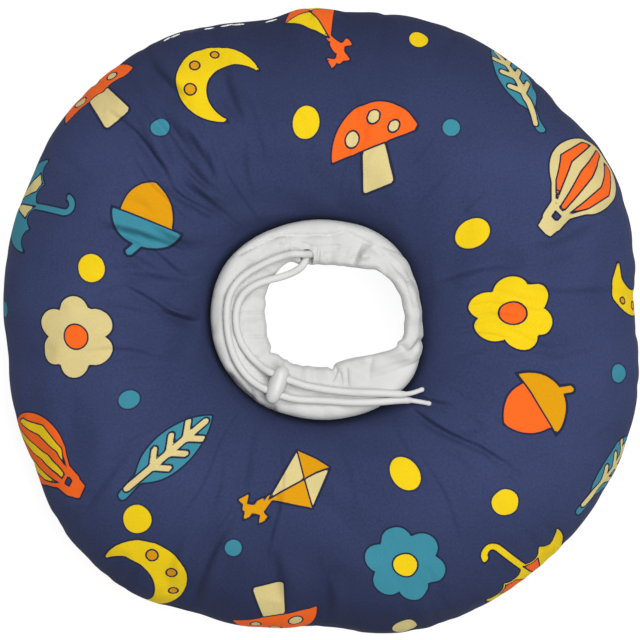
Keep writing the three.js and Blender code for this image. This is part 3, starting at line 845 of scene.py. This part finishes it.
def kite(p):
    sail = polygon(p, [(0, 1), (0.62, 0.3), (0, -0.62), (-0.62, 0.3)])
    halves = join(polygon(p, [(0, 1), (0.62, 0.3), (0, 0.3)]), polygon(p, [(0, 0.3), (-0.62, 0.3), (0, -0.62)]))
    tail = [bar(p, (0, -0.6), (0.14, -0.86), 0.07), bar(p, (0.14, -0.86), (-0.08, -1.16), 0.07)]
    bows = [
        polygon(p, [(x + end, y - 0.13), (x, y), (x + end, y + 0.13)])
        for end in (-0.22, 0.22) for x, y in ((0.14, -0.84), (-0.08, -1.14))
    ]
    return join(sail, *tail, *bows), halves


def flower(p):
    turns = np.radians(range(90, 450, 60))
    petals = [disc(p, 0.6 * math.cos(turn), 0.6 * math.sin(turn), 0.36) for turn in turns]
    return join(*petals, disc(p, 0, 0, 0.5)), disc(p, 0, 0, 0.3)


def acorn(p):
    nut = meet(disc(p, -0.4, 0.1, 1), disc(p, 0.4, 0.1, 1), p[:, 1] - 0.25)
    cap = join(meet(disc(p, 0, 0, 0.86), 0.14 - p[:, 1]), bar(p, (0, 0.8), (0.12, 1.08), 0.1))
    return join(nut, cap), cap


def umbrella(p):
    scallops = [disc(p, x, -0.2, 0.25) for x in (-0.74, -0.25, 0.25, 0.74)]
    dome = cut(meet(disc(p, 0, -0.1, 1), -p[:, 1] - 0.1), *scallops)
    panels = join(polygon(p, [(0, 0.9), (-0.5, -0.4), (0, -0.4)]), polygon(p, [(0, 0.9), (0.5, -0.4), (1.2, -0.4)]))
    hook = meet(np.abs(disc(p, 0.16, -0.8, 0.16)) - 0.06, p[:, 1] + 0.8)
    handle = join(bar(p, (0, -0.05), (0, -0.8), 0.06), hook)
    return join(dome, handle), meet(panels, dome + 0.04)


def dot(p):
    return disc(p, 0, 0, 1), np.full(len(p), FAR)


# %% [markdown]
# The layout of the print: where each motif lies on the panel, how large it is, and its two inks. reach is a share
# of the way from the neck seam to the outer seam, and size is half the motif's height in millimetres.
# %% Where the motifs lie
ORANGE, YELLOW, MUSTARD, CREAM, TEAL = "#F3661F", "#E9C815", "#D8970B", "#D6C588", "#3B8699"
MOTIFS = named_rows("draw bearing reach turn size main detail", [
    (toadstool, 72, 0.34, 12, 20, ORANGE, CREAM), (crescent, 112, 0.62, -25, 20, YELLOW, MUSTARD),
    (balloon, 27, 0.72, -38, 26, CREAM, ORANGE), (leaf, 51, 0.86, 20, 23, TEAL, CREAM),
    (flower, 2, 0.38, 10, 18, YELLOW, ORANGE), (kite, 90, 0.86, 28, 23, ORANGE, YELLOW),
    (acorn, 148, 0.38, 160, 18, MUSTARD, TEAL), (umbrella, 158, 0.84, 75, 23, TEAL, CREAM),
    (flower, 184, 0.56, 0, 20, CREAM, ORANGE), (balloon, 207, 0.84, 60, 26, ORANGE, YELLOW),
    (leaf, 222, 0.36, -50, 22, TEAL, CREAM), (crescent, 236, 0.82, 200, 20, YELLOW, MUSTARD),
    (toadstool, 262, 0.84, 188, 21, ORANGE, CREAM), (kite, 262, 0.3, -70, 20, MUSTARD, CREAM),
    (flower, 290, 0.6, 20, 19, TEAL, YELLOW), (umbrella, 310, 0.87, -130, 24, YELLOW, ORANGE),
    (acorn, 338, 0.47, -60, 18, ORANGE, MUSTARD), (leaf, 334, 0.92, -50, 22, TEAL, CREAM),
    (crescent, 7, 0.93, 100, 17, YELLOW, MUSTARD), (toadstool, 134, 0.86, 40, 21, ORANGE, CREAM),
])
DOTS = named_rows("bearing reach size main", [
    (93, 0.4, 6.5, YELLOW), (55, 0.5, 4, TEAL), (29, 0.3, 6.5, YELLOW), (129, 0.56, 4, TEAL),
    (167, 0.5, 6.5, YELLOW), (203, 0.4, 4.2, TEAL), (228, 0.62, 6.5, YELLOW), (250, 0.56, 4, TEAL),
    (300, 0.3, 6.5, YELLOW), (350, 0.8, 4.2, TEAL), (316, 0.58, 6, YELLOW), (178, 0.93, 4, TEAL),
    (286, 0.9, 6, CREAM), (70, 0.8, 4.5, YELLOW),
])
UNDERSIDE_TURN = 24
MOTIF_REACH = 1.5
DOT_OUTLINE = 0.6


def stamp(place, centre, turn, size):
    """The cloth seen in a motif's own units, with the motif turned and centred."""
    local = (place - centre) / size
    c, s = math.cos(math.radians(turn)), math.sin(math.radians(turn))
    return np.stack([local[:, 0] * c + local[:, 1] * s, -local[:, 0] * s + local[:, 1] * c], axis=1)


def print_on(place, cloth_radius, shift):
    """The distances in millimetres, the inks and the outlines of all the motifs at each place."""
    edges = {shape: np.full(len(place), FAR) for shape in ("main", "detail")}
    inks = {shape: np.zeros((len(place), 4)) for shape in ("main", "detail")}
    outlined = np.zeros(len(place))
    for row in MOTIFS + [dict(row, draw=dot, turn=0, detail=CREAM) for row in DOTS]:
        angle = math.radians(row["bearing"] + shift)
        radius = cloth_radius(row["reach"])
        local = stamp(place, radius * np.array([math.cos(angle), math.sin(angle)]), row["turn"] + shift, row["size"])
        near = np.flatnonzero(np.hypot(local[:, 0], local[:, 1]) < MOTIF_REACH)
        main, detail = [edge * row["size"] for edge in row["draw"](local[near])]
        nearer = main < edges["main"][near]
        near = near[nearer]
        edges["main"][near], edges["detail"][near] = main[nearer], detail[nearer]
        inks["main"][near], inks["detail"][near] = linear(row["main"]), linear(row["detail"])
        outlined[near] = 1 if row["draw"] is not dot else DOT_OUTLINE
    return edges, inks, outlined


# %% [markdown]
# The stuffed ring. Its skin is one grid, finer on the upper panel, bent round by the function above. The place of
# each point on the flat cloth is kept as an attribute, in metres, so that the weave and the print lie in the cloth
# and turn over the edge with it.
# %% The two panels are filled
SIM_ROUND = 360
SIM_ACROSS = 72
SIM_FRAMES = 26
CLOTH_SETTINGS = dict(
    quality=6, mass=0.1, tension_stiffness=15, compression_stiffness=15, shear_stiffness=5, bending_stiffness=0.1,
    use_pressure=True, uniform_pressure_force=3, vertex_group_mass="seams",
)
PANEL_GAP = 1 * MM
MOST_MOVED = 7 * MM
PANEL_SLACK = 1.04
CLOTH_MIDDLE = 100
NECK_EASE = 0.8
PROFILE_BEARING = 60.0
PROFILE_TURNS = np.linspace(0, 0.5, 257)
profile = ring_points(np.full(len(PROFILE_TURNS), PROFILE_BEARING), PROFILE_TURNS)
from_edge = np.concatenate([[0], np.cumsum(np.linalg.norm(np.diff(profile, axis=0), axis=1))]) / MM


def cloth_radius_at(turns):
    """The radius on the flat panel, in millimetres, of a place at a turn between 0, the outer seam, and 0.5."""
    outwards = np.interp(0.25, PROFILE_TURNS, from_edge) - np.interp(turns, PROFILE_TURNS, from_edge)
    return CLOTH_MIDDLE + np.where(outwards < 0, outwards * NECK_EASE, outwards)


def cloth_radius(reach):
    return mix(cloth_radius_at(0.5), cloth_radius_at(0.0), reach)


def laid_flat(share, turns, unit=1, slack=1):
    """The places of points on the flat panels, in millimetres, and which of them are on the upper one."""
    upper = turns <= 0.5
    radii = cloth_radius_at(np.where(upper, turns, 1 - turns)) * unit * slack
    angles = np.radians(share * 360)
    return np.stack([radii * np.cos(angles), radii * np.sin(angles), 0 * radii], axis=1), upper


def fill_panels():
    """How far filling moves each point of the skin, as a table of bearings by turns by three."""
    bm = cloth_grid(SIM_ROUND, SIM_ACROSS)
    places = grid_places(bm)
    move_points(bm, ring_points(places[:, 0] * 360, places[:, 1]))
    close_up(bm)
    kept = bm.verts.layers.float_vector["grid_place"]
    places = np.array([vertex[kept][:2] for vertex in bm.verts])
    trial = new_object("filling", bm)
    start = read_points(trial.data, "position")
    flat, upper = laid_flat(places[:, 0], places[:, 1], MM, PANEL_SLACK)
    flat[:, 2] = np.where(upper, PANEL_GAP, 0)
    trial.shape_key_add(name="filled")
    cut_flat = trial.shape_key_add(name="cut flat")
    cut_flat.data.foreach_set("co", flat.ravel())
    seams = trial.vertex_groups.new(name="seams")
    from_seam = np.abs(places[:, 1] - np.array([[0], [0.5], [1]])).min(axis=0)
    seams.add([int(k) for k in np.flatnonzero(from_seam < 0.5 / SIM_ACROSS)], 1, "REPLACE")
    cloth = trial.modifiers.new("cloth", "CLOTH")
    for name, value in CLOTH_SETTINGS.items():
        setattr(cloth.settings, name, value)
    cloth.settings.effector_weights.gravity = 0
    cloth.settings.rest_shape_key = cut_flat
    cloth.collision_settings.use_collision = False
    for frame_number in range(1, SIM_FRAMES + 1):
        bpy.context.scene.frame_set(frame_number)
    done = trial.evaluated_get(bpy.context.evaluated_depsgraph_get())
    moved = read_points(done.data, "position") - start
    bpy.context.scene.frame_set(1)
    mesh = trial.data
    bpy.data.objects.remove(trial)
    bpy.data.meshes.remove(mesh)
    table = np.zeros((SIM_ROUND, SIM_ACROSS, 3))
    columns = np.rint(places[:, 0] * SIM_ROUND).astype(int) % SIM_ROUND
    rows = np.rint(places[:, 1] * SIM_ACROSS).astype(int) % SIM_ACROSS
    table[columns, rows] = moved
    length = np.linalg.norm(table, axis=2, keepdims=True)
    print("filling moved the cloth, mm, most and mean:", np.round([length.max() / MM, length.mean() / MM], 2))
    return table * np.minimum(1, MOST_MOVED / np.maximum(length, 1e-9))


def cubic_weights(t):
    return np.stack([
        (-t + 2 * t**2 - t**3) / 2, (2 - 5 * t**2 + 3 * t**3) / 2, (t + 4 * t**2 - 3 * t**3) / 2, (t**3 - t**2) / 2,
    ])


def read_table(table, places):
    """A smooth reading of a table that closes on itself both ways, at places from 0 to 1."""
    at = places * table.shape[:2]
    low = np.floor(at).astype(int)
    weights = [cubic_weights(at[:, axis] - low[:, axis]) for axis in (0, 1)]
    made = np.zeros((len(places), 3))
    for i in range(4):
        for j in range(4):
            part = table[(low[:, 0] + i - 1) % table.shape[0], (low[:, 1] + j - 1) % table.shape[1]]
            made += part * (weights[0][i] * weights[1][j])[:, None]
    return made


# %% The stuffed ring
RING_ROUND = 720
RING_ACROSS = 137
TOP_SHARE = 0.72

bm = cloth_grid(RING_ROUND, RING_ACROSS)
places = grid_places(bm)
turns = np.interp(places[:, 1], [0, TOP_SHARE, 1], [0, 0.5, 1])
skin = ring_points(places[:, 0] * 360, turns)
skin += read_table(fill_panels(), np.stack([places[:, 0], turns], axis=1))
skin[:, 2] = np.maximum(skin[:, 2], 0)
move_points(bm, skin)
cushion = made_object("stuffed_ring", bm, cotton)
print("ring height, mm:", round(float(read_points(cushion.data, "position")[:, 2].max() / MM), 1))

# %% [markdown]
# The print is worked out on the flat cloth: a point's distance from the middle of the panel is measured along the
# cloth, over the curve of the ring, and not straight across it. The cloth is eased in a little at the neck seam.
# %% The print on the ring
def write_points(mesh, name, kind, values):
    layer = mesh.attributes.new(name, kind, "POINT")
    field = {"FLOAT": "value", "FLOAT_VECTOR": "vector", "FLOAT_COLOR": "color"}[kind]
    layer.data.foreach_set(field, np.ascontiguousarray(values, np.float32).ravel())


kept = read_points(cushion.data, "grid_place")
flat, upper = laid_flat(kept[:, 0], np.interp(kept[:, 1], [0, TOP_SHARE, 1], [0, 0.5, 1]))
top_print = print_on(flat[:, :2], cloth_radius, 0)
under_print = print_on(flat[:, :2], cloth_radius, UNDERSIDE_TURN)
write_points(cushion.data, "cloth_place", "FLOAT_VECTOR", flat * MM)
for shape in ("main", "detail"):
    write_points(cushion.data, shape + "_edge", "FLOAT", np.where(upper, top_print[0][shape], under_print[0][shape]))
    inks = np.where(upper[:, None], top_print[1][shape], under_print[1][shape])
    write_points(cushion.data, shape + "_ink", "FLOAT_COLOR", inks)
write_points(cushion.data, "outlined", "FLOAT", np.where(upper, top_print[2], under_print[2]))
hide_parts("cushion_ring")
print("flat panel, mm:", np.round([float(cloth_radius(0)), float(cloth_radius(1))]))

# %% [markdown]
# The neck cuff is one strip of jersey. It stands up from the neck seam, rolls in over its rim, and its end is turned
# under and stitched down, which makes the casing for the drawstring. So it is modelled as one sheet that runs out to
# the free edge over the casing and back under it, and a Solidify modifier gives it the thickness of the cloth.
# The tables hold its creases, seen from above, in millimetres about the neck axis, and the nicks in its free edge.
# %% Tables of the cuff's creases and nicks
CREASES = named_rows("x0 y0 x1 y1 width depth", [
    (-35.7, 30.5, -29.8, 33.6, 0.8, 0.8), (-29.8, 33.6, -21.5, 37.5, 0.8, 0.9), (-21.5, 37.5, -15.3, 39.5, 0.8, 0.9),
    (-15.3, 39.5, -4.2, 39.2, 0.8, 0.9), (-4.2, 39.2, 6.2, 39.5, 0.8, 0.9), (6.2, 39.5, 12.5, 40.9, 0.8, 1.1),
    (12.5, 40.9, 16.7, 39.2, 1.2, 1.1), (16.7, 39.2, 24.3, 35.4, 1.3, 0.8), (-2.8, 33.3, 9.7, 33.6, 1.2, 0.7),
    (9.7, 33.6, 18, 35, 1.3, 0.4), (-13.5, 38.5, -12.8, 32.2, 0.8, 0.8), (20.8, 26.3, 22.6, 30.5, 2, -0.9),
    (22.6, 30.5, 26, 34.7, 2, -1), (26, 34.7, 33, 22.9, 1.6, 0.7), (17.5, 28, 20, 33.5, 1.6, 0.8),
    (39.6, -11.1, 43.7, -15.6, 1.3, 0.9), (43.7, -15.6, 48.5, -9.5, 1.3, 1), (7.6, -27.8, 9.7, -22.9, 0.9, 0.9),
    (11.8, -29.9, 11.4, -25, 0.8, 0.7), (14.6, -29.9, 14.2, -23, 0.9, 0.8), (24, -26, 25.5, -18.5, 1.4, 0.6),
    (-36.1, 3.1, -25, 3.4, 0.9, 0.5), (-31.9, -7.7, -23.6, -7.7, 0.9, 0.5), (-35.4, 7.6, -30, 16, 1.3, 0.5),
    (-40, -26, -30, -36, 2.2, 0.6), (-26, -36, -20, -41, 1.6, 0.6), (-46, 10, -47, -5, 2, 0.4),
    (0.2, 32.4, -0.2, 26.8, 0.45, 0.5), (1.6, 32, 1.2, 27, 0.45, 0.45), (3.4, 31.6, 4.4, 27.6, 0.6, 0.35),
    (-9, 33.6, -17, 34.6, 1, 0.5), (24.8, 34.3, 34, 27.5, 0.9, 0.5), (34, 27.5, 42, 18.5, 0.9, 0.6),
    (42, 18.5, 45.4, 7, 0.9, 0.5), (-40, -19, -30, -33, 1, 0.5), (-3, 34.2, -8, 36.4, 0.9, 0.5),
    (4, 30.6, 14, 31.4, 0.9, 0.45),
])
NICKS = named_rows("bearing spread depth", [
    (288, 3.5, 1.7), (215, 4, 2.2), (41, 3, 0.9), (234, 3, -0.6), (163, 5, -0.5), (254, 4, 0.5), (325, 4, -0.8),
    (68, 4, -0.5),
])
JERSEY_THICKNESS = 1.0 * MM
OVER_SHARE, UNDER_SHARE, OVER_RISE = 0.6, 0.65, 8
SLACK = 0.35 * MM
SLACK_FROM, SLACK_RUN = 16 * MM, 8 * MM
SLACK_ROUND, SLACK_ACROSS, SLACK_BEAT, SLACK_PHASE = 23, 260, 7, 1
FOOT_TUCK = 1.3 * MM
FOOT_RUN = 2.5 * MM
CREASE_GAIN = 1.9
DEEPEST_CREASE = 1.6 * MM

# %% The cuff as one strip of jersey
CUFF_ROUND = 400
CUFF_ACROSS = 64
HEM_AT, EDGE_AT, TURNED_AT = 0.42, 0.7, 0.73
EYELET_BEARING, EYELET_HALF = 98.5, 6
EYELET_AT, EYELET_REACH = 0.62, 0.1


def crease_depth(points):
    depth = np.zeros(len(points))
    plan = (points[:, :2] - NECK_OFFSET) / MM
    for row in CREASES:
        away = bar(plan, (row["x0"], row["y0"]), (row["x1"], row["y1"]), 0)
        depth += CREASE_GAIN * row["depth"] * MM * bell(away / row["width"])
    return np.minimum(depth, DEEPEST_CREASE)


def edge_nicks(bearing):
    return sum(row["depth"] * MM * bell(bearing_gap(bearing, row["bearing"]) / row["spread"]) for row in NICKS)


def strip_stations(bearing, across, length):
    """The distance along the cloth and the offset from its middle line, for a table of bearings by stations."""
    hem = length - CASING_WIDTH
    end = length - edge_nicks(bearing)[:, None]
    going = np.interp(across, [0, HEM_AT, EDGE_AT], [0, 1, 2])
    back = np.interp(across, [TURNED_AT, 1], [1, 0])
    distance = np.where(
        across <= HEM_AT, hem * going, np.where(across <= TURNED_AT, mix(hem, end, going - 1), mix(hem, end, back)),
    )
    along = np.where(across <= EDGE_AT, going - 1, back).clip(0, 1)
    half = CASING_HALF * casing_fill(along)
    over = half + OVER_SHARE * JERSEY_THICKNESS * np.clip(along * OVER_RISE, 0, 1)
    under = -(half + UNDER_SHARE * JERSEY_THICKNESS)
    turned = np.clip((across - EDGE_AT) / (TURNED_AT - EDGE_AT), 0, 1)
    return distance, mix(over, under, turned)


def strip_points(bearing, across):
    length = cuff_lines(bearing)[1][-1][:, None]
    across = np.broadcast_to(across, (len(bearing), len(across)))
    distance, off = strip_stations(bearing, across, length)
    angle = np.radians(bearing)[:, None]
    slack = np.sin(angle * SLACK_ROUND + distance * SLACK_ACROSS) * np.sin(angle * SLACK_BEAT + SLACK_PHASE)
    off = off + SLACK * slack * np.clip((distance - SLACK_FROM) / SLACK_RUN, 0, 1)
    off = off + FOOT_TUCK * np.clip(1 - distance / FOOT_RUN, 0, 1)
    points = cuff_points(bearing, distance, off)
    groove = crease_depth(points.reshape(-1, 3)).reshape(off.shape)
    return cuff_points(bearing, distance, off - groove)


bm = cloth_grid(CUFF_ROUND, CUFF_ACROSS)
places = grid_places(bm)
columns = np.linspace(0, 360, CUFF_ROUND + 1)
rows = np.linspace(0, 1, CUFF_ACROSS + 1)
strip = strip_points(columns, rows)
picked = np.rint(places * (CUFF_ROUND, CUFF_ACROSS)).astype(int)
move_points(bm, strip[picked[:, 0], picked[:, 1]])
strip_width = float(np.linalg.norm(np.diff(strip, axis=1), axis=2).sum(axis=1).mean())
strip_round = 2 * math.pi * NECK_RADIUS
map_cloth(bm, strip_round, strip_width)
kept = bm.verts.layers.float_vector["grid_place"]


def from_eyelet(place):
    """Where a place on the strip is from the middle of the rounded slit, with the slit's rim at a length of 1."""
    return np.array([(place[0] * 360 - EYELET_BEARING) / EYELET_HALF, (place[1] - EYELET_AT) / EYELET_REACH])


opened = [face for face in bm.faces if any(np.linalg.norm(from_eyelet(vertex[kept])) < 1 for vertex in face.verts)]
rim = {vertex for face in opened for vertex in face.verts}
bmesh.ops.delete(bm, geom=opened, context="FACES")
for vertex in rim:
    if vertex.is_valid and vertex.link_faces:
        out = from_eyelet(vertex[kept])
        out /= np.linalg.norm(out)
        at = (EYELET_BEARING + out[0] * EYELET_HALF, EYELET_AT + out[1] * EYELET_REACH)
        vertex.co = strip_points(np.array([at[0]]), np.array([at[1]]))[0, 0]
cuff = made_object("neck_cuff_jersey", bm, jersey)
thicken = cuff.modifiers.new("cloth thickness", "SOLIDIFY")
thicken.thickness = JERSEY_THICKNESS
thicken.offset = 0
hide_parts("neck_cuff")
print("jersey strip, mm:", round(strip_round / MM), "by", round(strip_width / MM, 1))

# %% [markdown]
# The drawstring is a mesh tube, so that the plait can follow it by a UV map. It is the same flat grid again, rolled
# into a tube whose sides turn as little as they can along the route, with its two ends drawn in where they were cut.
# %% The drawstring
CORD_SIDES = 16
TIP_PLACES = [0, 0.9, 1.8, 3.2, 9, 11.5]
TIP_SIZES = [0.35, 0.68, 0.62, 0.62, 0.66, 1]


def tube_frames(path):
    """Two directions across the tube at each of its points, turned as little as they can be from one to the next."""
    runs = np.gradient(path, axis=0)
    runs /= np.linalg.norm(runs, axis=1)[:, None]
    side = np.cross(runs[0], (0, 0, 1))
    sides = []
    for run in runs:
        side = side - run * (side @ run)
        side /= np.linalg.norm(side)
        sides.append(side)
    return np.array(sides), np.cross(runs, sides)


cord_line, cord_at = along_route(cord_path, CORD_SPACING)
sides, ups = tube_frames(cord_line)
from_tip = np.minimum(cord_at, cord_at[-1] - cord_at)
sealed = np.interp(from_tip / MM, TIP_PLACES, TIP_SIZES)
bm = cloth_grid(len(cord_line) - 1, CORD_SIDES)
places = grid_places(bm)
station = np.rint(places[:, 0] * (len(cord_line) - 1)).astype(int)
angle = places[:, 1] * 2 * math.pi
radius = (CORD_DIAMETER / 2 * sealed[station])[:, None]
move_points(bm, cord_line[station] + radius * (
    sides[station] * np.cos(angle)[:, None] + ups[station] * np.sin(angle)[:, None]
))
map_cloth(bm, cord_at[-1], math.pi * CORD_DIAMETER)
cord = made_object("drawstring_elastic", bm, elastic)
print("cord points:", len(cord_line), "length, mm:", round(cord_at[-1] / MM, 1))

# %% [markdown]
# The bead lock is a smooth bean of moulded plastic with two holes. Half its outline is spun round its long axis, the
# holes are bored with a Boolean, and a voxel remesh with some smoothing rounds the rims as a mould does.
# %% The bead lock
LOCK_ROUNDNESS = 2.6
LOCK_HOLE = CORD_DIAMETER + 0.8 * MM
PROFILE_STEPS = 28
SPIN_STEPS = 48
DRILL_SIDES = 32
EVEN_FACES = 0.24 * MM
SOFTENING, SOFTENING_ROUNDS = 0.5, 6
LOCK_ROTATION = Matrix.Rotation(math.radians(LOCK_TURN), 4, "Z")

bm = bmesh.new()
outline = []
for k in range(PROFILE_STEPS + 1):
    along = -math.cos(math.pi * k / PROFILE_STEPS)
    out = (1 - abs(along) ** LOCK_ROUNDNESS) ** (1 / LOCK_ROUNDNESS)
    outline.append(bm.verts.new((out * LOCK_WIDTH / 2, along * LOCK_LENGTH / 2, 0)))
edges = [bm.edges.new(pair) for pair in zip(outline, outline[1:])]
bmesh.ops.spin(
    bm, geom=outline + edges, cent=(0, 0, 0), axis=(0, 1, 0), angle=2 * math.pi, steps=SPIN_STEPS, use_merge=True,
    use_duplicate=False,
)
bmesh.ops.transform(bm, matrix=Matrix.Translation(lock_middle) @ LOCK_ROTATION, verts=bm.verts)
lock = made_object("bead_lock", bm, plastic)

bm = bmesh.new()
for side in (-1, 1):
    across = LOCK_ROTATION @ Matrix.Rotation(math.radians(90), 4, "Y")
    bmesh.ops.create_cone(
        bm, cap_ends=True, segments=DRILL_SIDES, radius1=LOCK_HOLE / 2, radius2=LOCK_HOLE / 2, depth=2 * LOCK_WIDTH,
        matrix=Matrix.Translation(in_lock(side, 0)) @ across,
    )
drill = new_object("drill", bm)


def apply_modifiers(piece):
    finished = bpy.data.meshes.new_from_object(piece.evaluated_get(bpy.context.evaluated_depsgraph_get()))
    piece.modifiers.clear()
    piece.data = finished
    piece.data.shade_smooth()


bore = lock.modifiers.new("bored", "BOOLEAN")
bore.operation = "DIFFERENCE"
bore.object = drill
bore.solver = "EXACT"
remesh = lock.modifiers.new("even", "REMESH")
remesh.mode = "VOXEL"
remesh.voxel_size = EVEN_FACES
softened = lock.modifiers.new("softened rims", "SMOOTH")
softened.factor = SOFTENING
softened.iterations = SOFTENING_ROUNDS
apply_modifiers(lock)
bpy.data.objects.remove(drill)
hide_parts("cord_lock")
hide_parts("drawstring")
print("lock faces:", len(lock.data.polygons))

# %% [markdown]
# Where the ring was filled, its outer seam is closed by hand with a few long stitches of white thread. Each stitch is
# a short thread, rounded at its ends, that half sinks into the cloth.
# %% Stitches
CLOSING_ROWS = named_rows("bearing length", [
    (98.6, 6), (104.8, 6), (106.9, 6.4), (110.2, 5), (116.4, 5), (118, 4),
])
CLOSING_TURN = 0.048
CLOSING_THICKNESS = 0.75 * MM
CLOSING_SLANT = 84
ONWARD, UPWARD = 0.5, 0.01
SLANT_SWING, SLANT_BEAT = 5, 2.3
STITCH_SINK = 0.05 * MM


def add_stitch(bm, middle, run, outward, length, thickness):
    run = Vector(run).normalized()
    out = Vector(outward)
    out = (out - run * out.dot(run)).normalized()
    turned = Matrix((run, out.cross(run), out)).transposed().to_4x4()
    bmesh.ops.create_uvsphere(bm, u_segments=8, v_segments=6, radius=0.5, matrix=(
        Matrix.Translation(Vector(middle)) @ turned @ Matrix.Diagonal((length, thickness, thickness, 1))
        @ Matrix.Rotation(math.radians(90), 4, "Y")
    ))


bm = bmesh.new()
for k, row in enumerate(CLOSING_ROWS):
    here, onward, above = [
        ring_points(np.array([row["bearing"] + more]), np.array([CLOSING_TURN + up]))[0]
        for more, up in ((0, 0), (ONWARD, 0), (0, UPWARD))
    ]
    round_run = (onward - here) / np.linalg.norm(onward - here)
    up_run = (above - here) / np.linalg.norm(above - here)
    slant = math.radians(CLOSING_SLANT + SLANT_SWING * math.sin(k * SLANT_BEAT))
    outward = np.cross(round_run, up_run)
    add_stitch(
        bm, here - outward * STITCH_SINK, round_run * math.sin(slant) + up_run * math.cos(slant), outward,
        row["length"] * MM, CLOSING_THICKNESS,
    )
made_object("closing_stitches", bm, thread)

# %% [markdown]
# The collar lies on white paper. The paper glows a little, so that it stays white out to the corners, and one softbox
# above and to the upper right gives the soft shadow, with a weak even light from all round.
# %% The floor and the light
FLOOR_HALF = 1.5
FLOOR_DROP = 0.3 * MM
PAPER_GREY = 0.15
PAPER_GLOW = 0.92
KEY_SIZE = (1.2, 0.4)
KEY_WATTS = 11.1
KEY_PLACE = (0.14, 0.08, 0.95)
SKY_STRENGTH = 0.15
WHITE = (1, 1, 1, 1)

bm = bmesh.new()
bmesh.ops.create_grid(bm, x_segments=8, y_segments=8, size=FLOOR_HALF, matrix=Matrix.Translation((0, 0, -FLOOR_DROP)))
floor = new_object("floor", bm)
paper, tree = finish(
    "matte_white_paper", Roughness=0.95, Base_Color=(PAPER_GREY, PAPER_GREY, PAPER_GREY, 1), Specular_IOR_Level=0,
    Emission_Color=WHITE, Emission_Strength=PAPER_GLOW,
)
floor.data.materials.append(paper)

key_data = bpy.data.lights.new("softbox", "AREA")
key_data.shape = "RECTANGLE"
key_data.size, key_data.size_y = KEY_SIZE
key_data.energy = KEY_WATTS
key = bpy.data.objects.new("softbox", key_data)
key.location = KEY_PLACE
key.rotation_euler = (-Vector(KEY_PLACE)).to_track_quat("-Z", "Y").to_euler()
bpy.context.scene.collection.objects.link(key)

world = bpy.data.worlds.new("studio")
world.use_nodes = True
world.node_tree.nodes["Background"].inputs["Color"].default_value = WHITE
world.node_tree.nodes["Background"].inputs["Strength"].default_value = SKY_STRENGTH
bpy.context.scene.world = world
bpy.context.scene.view_settings.view_transform = "Standard"
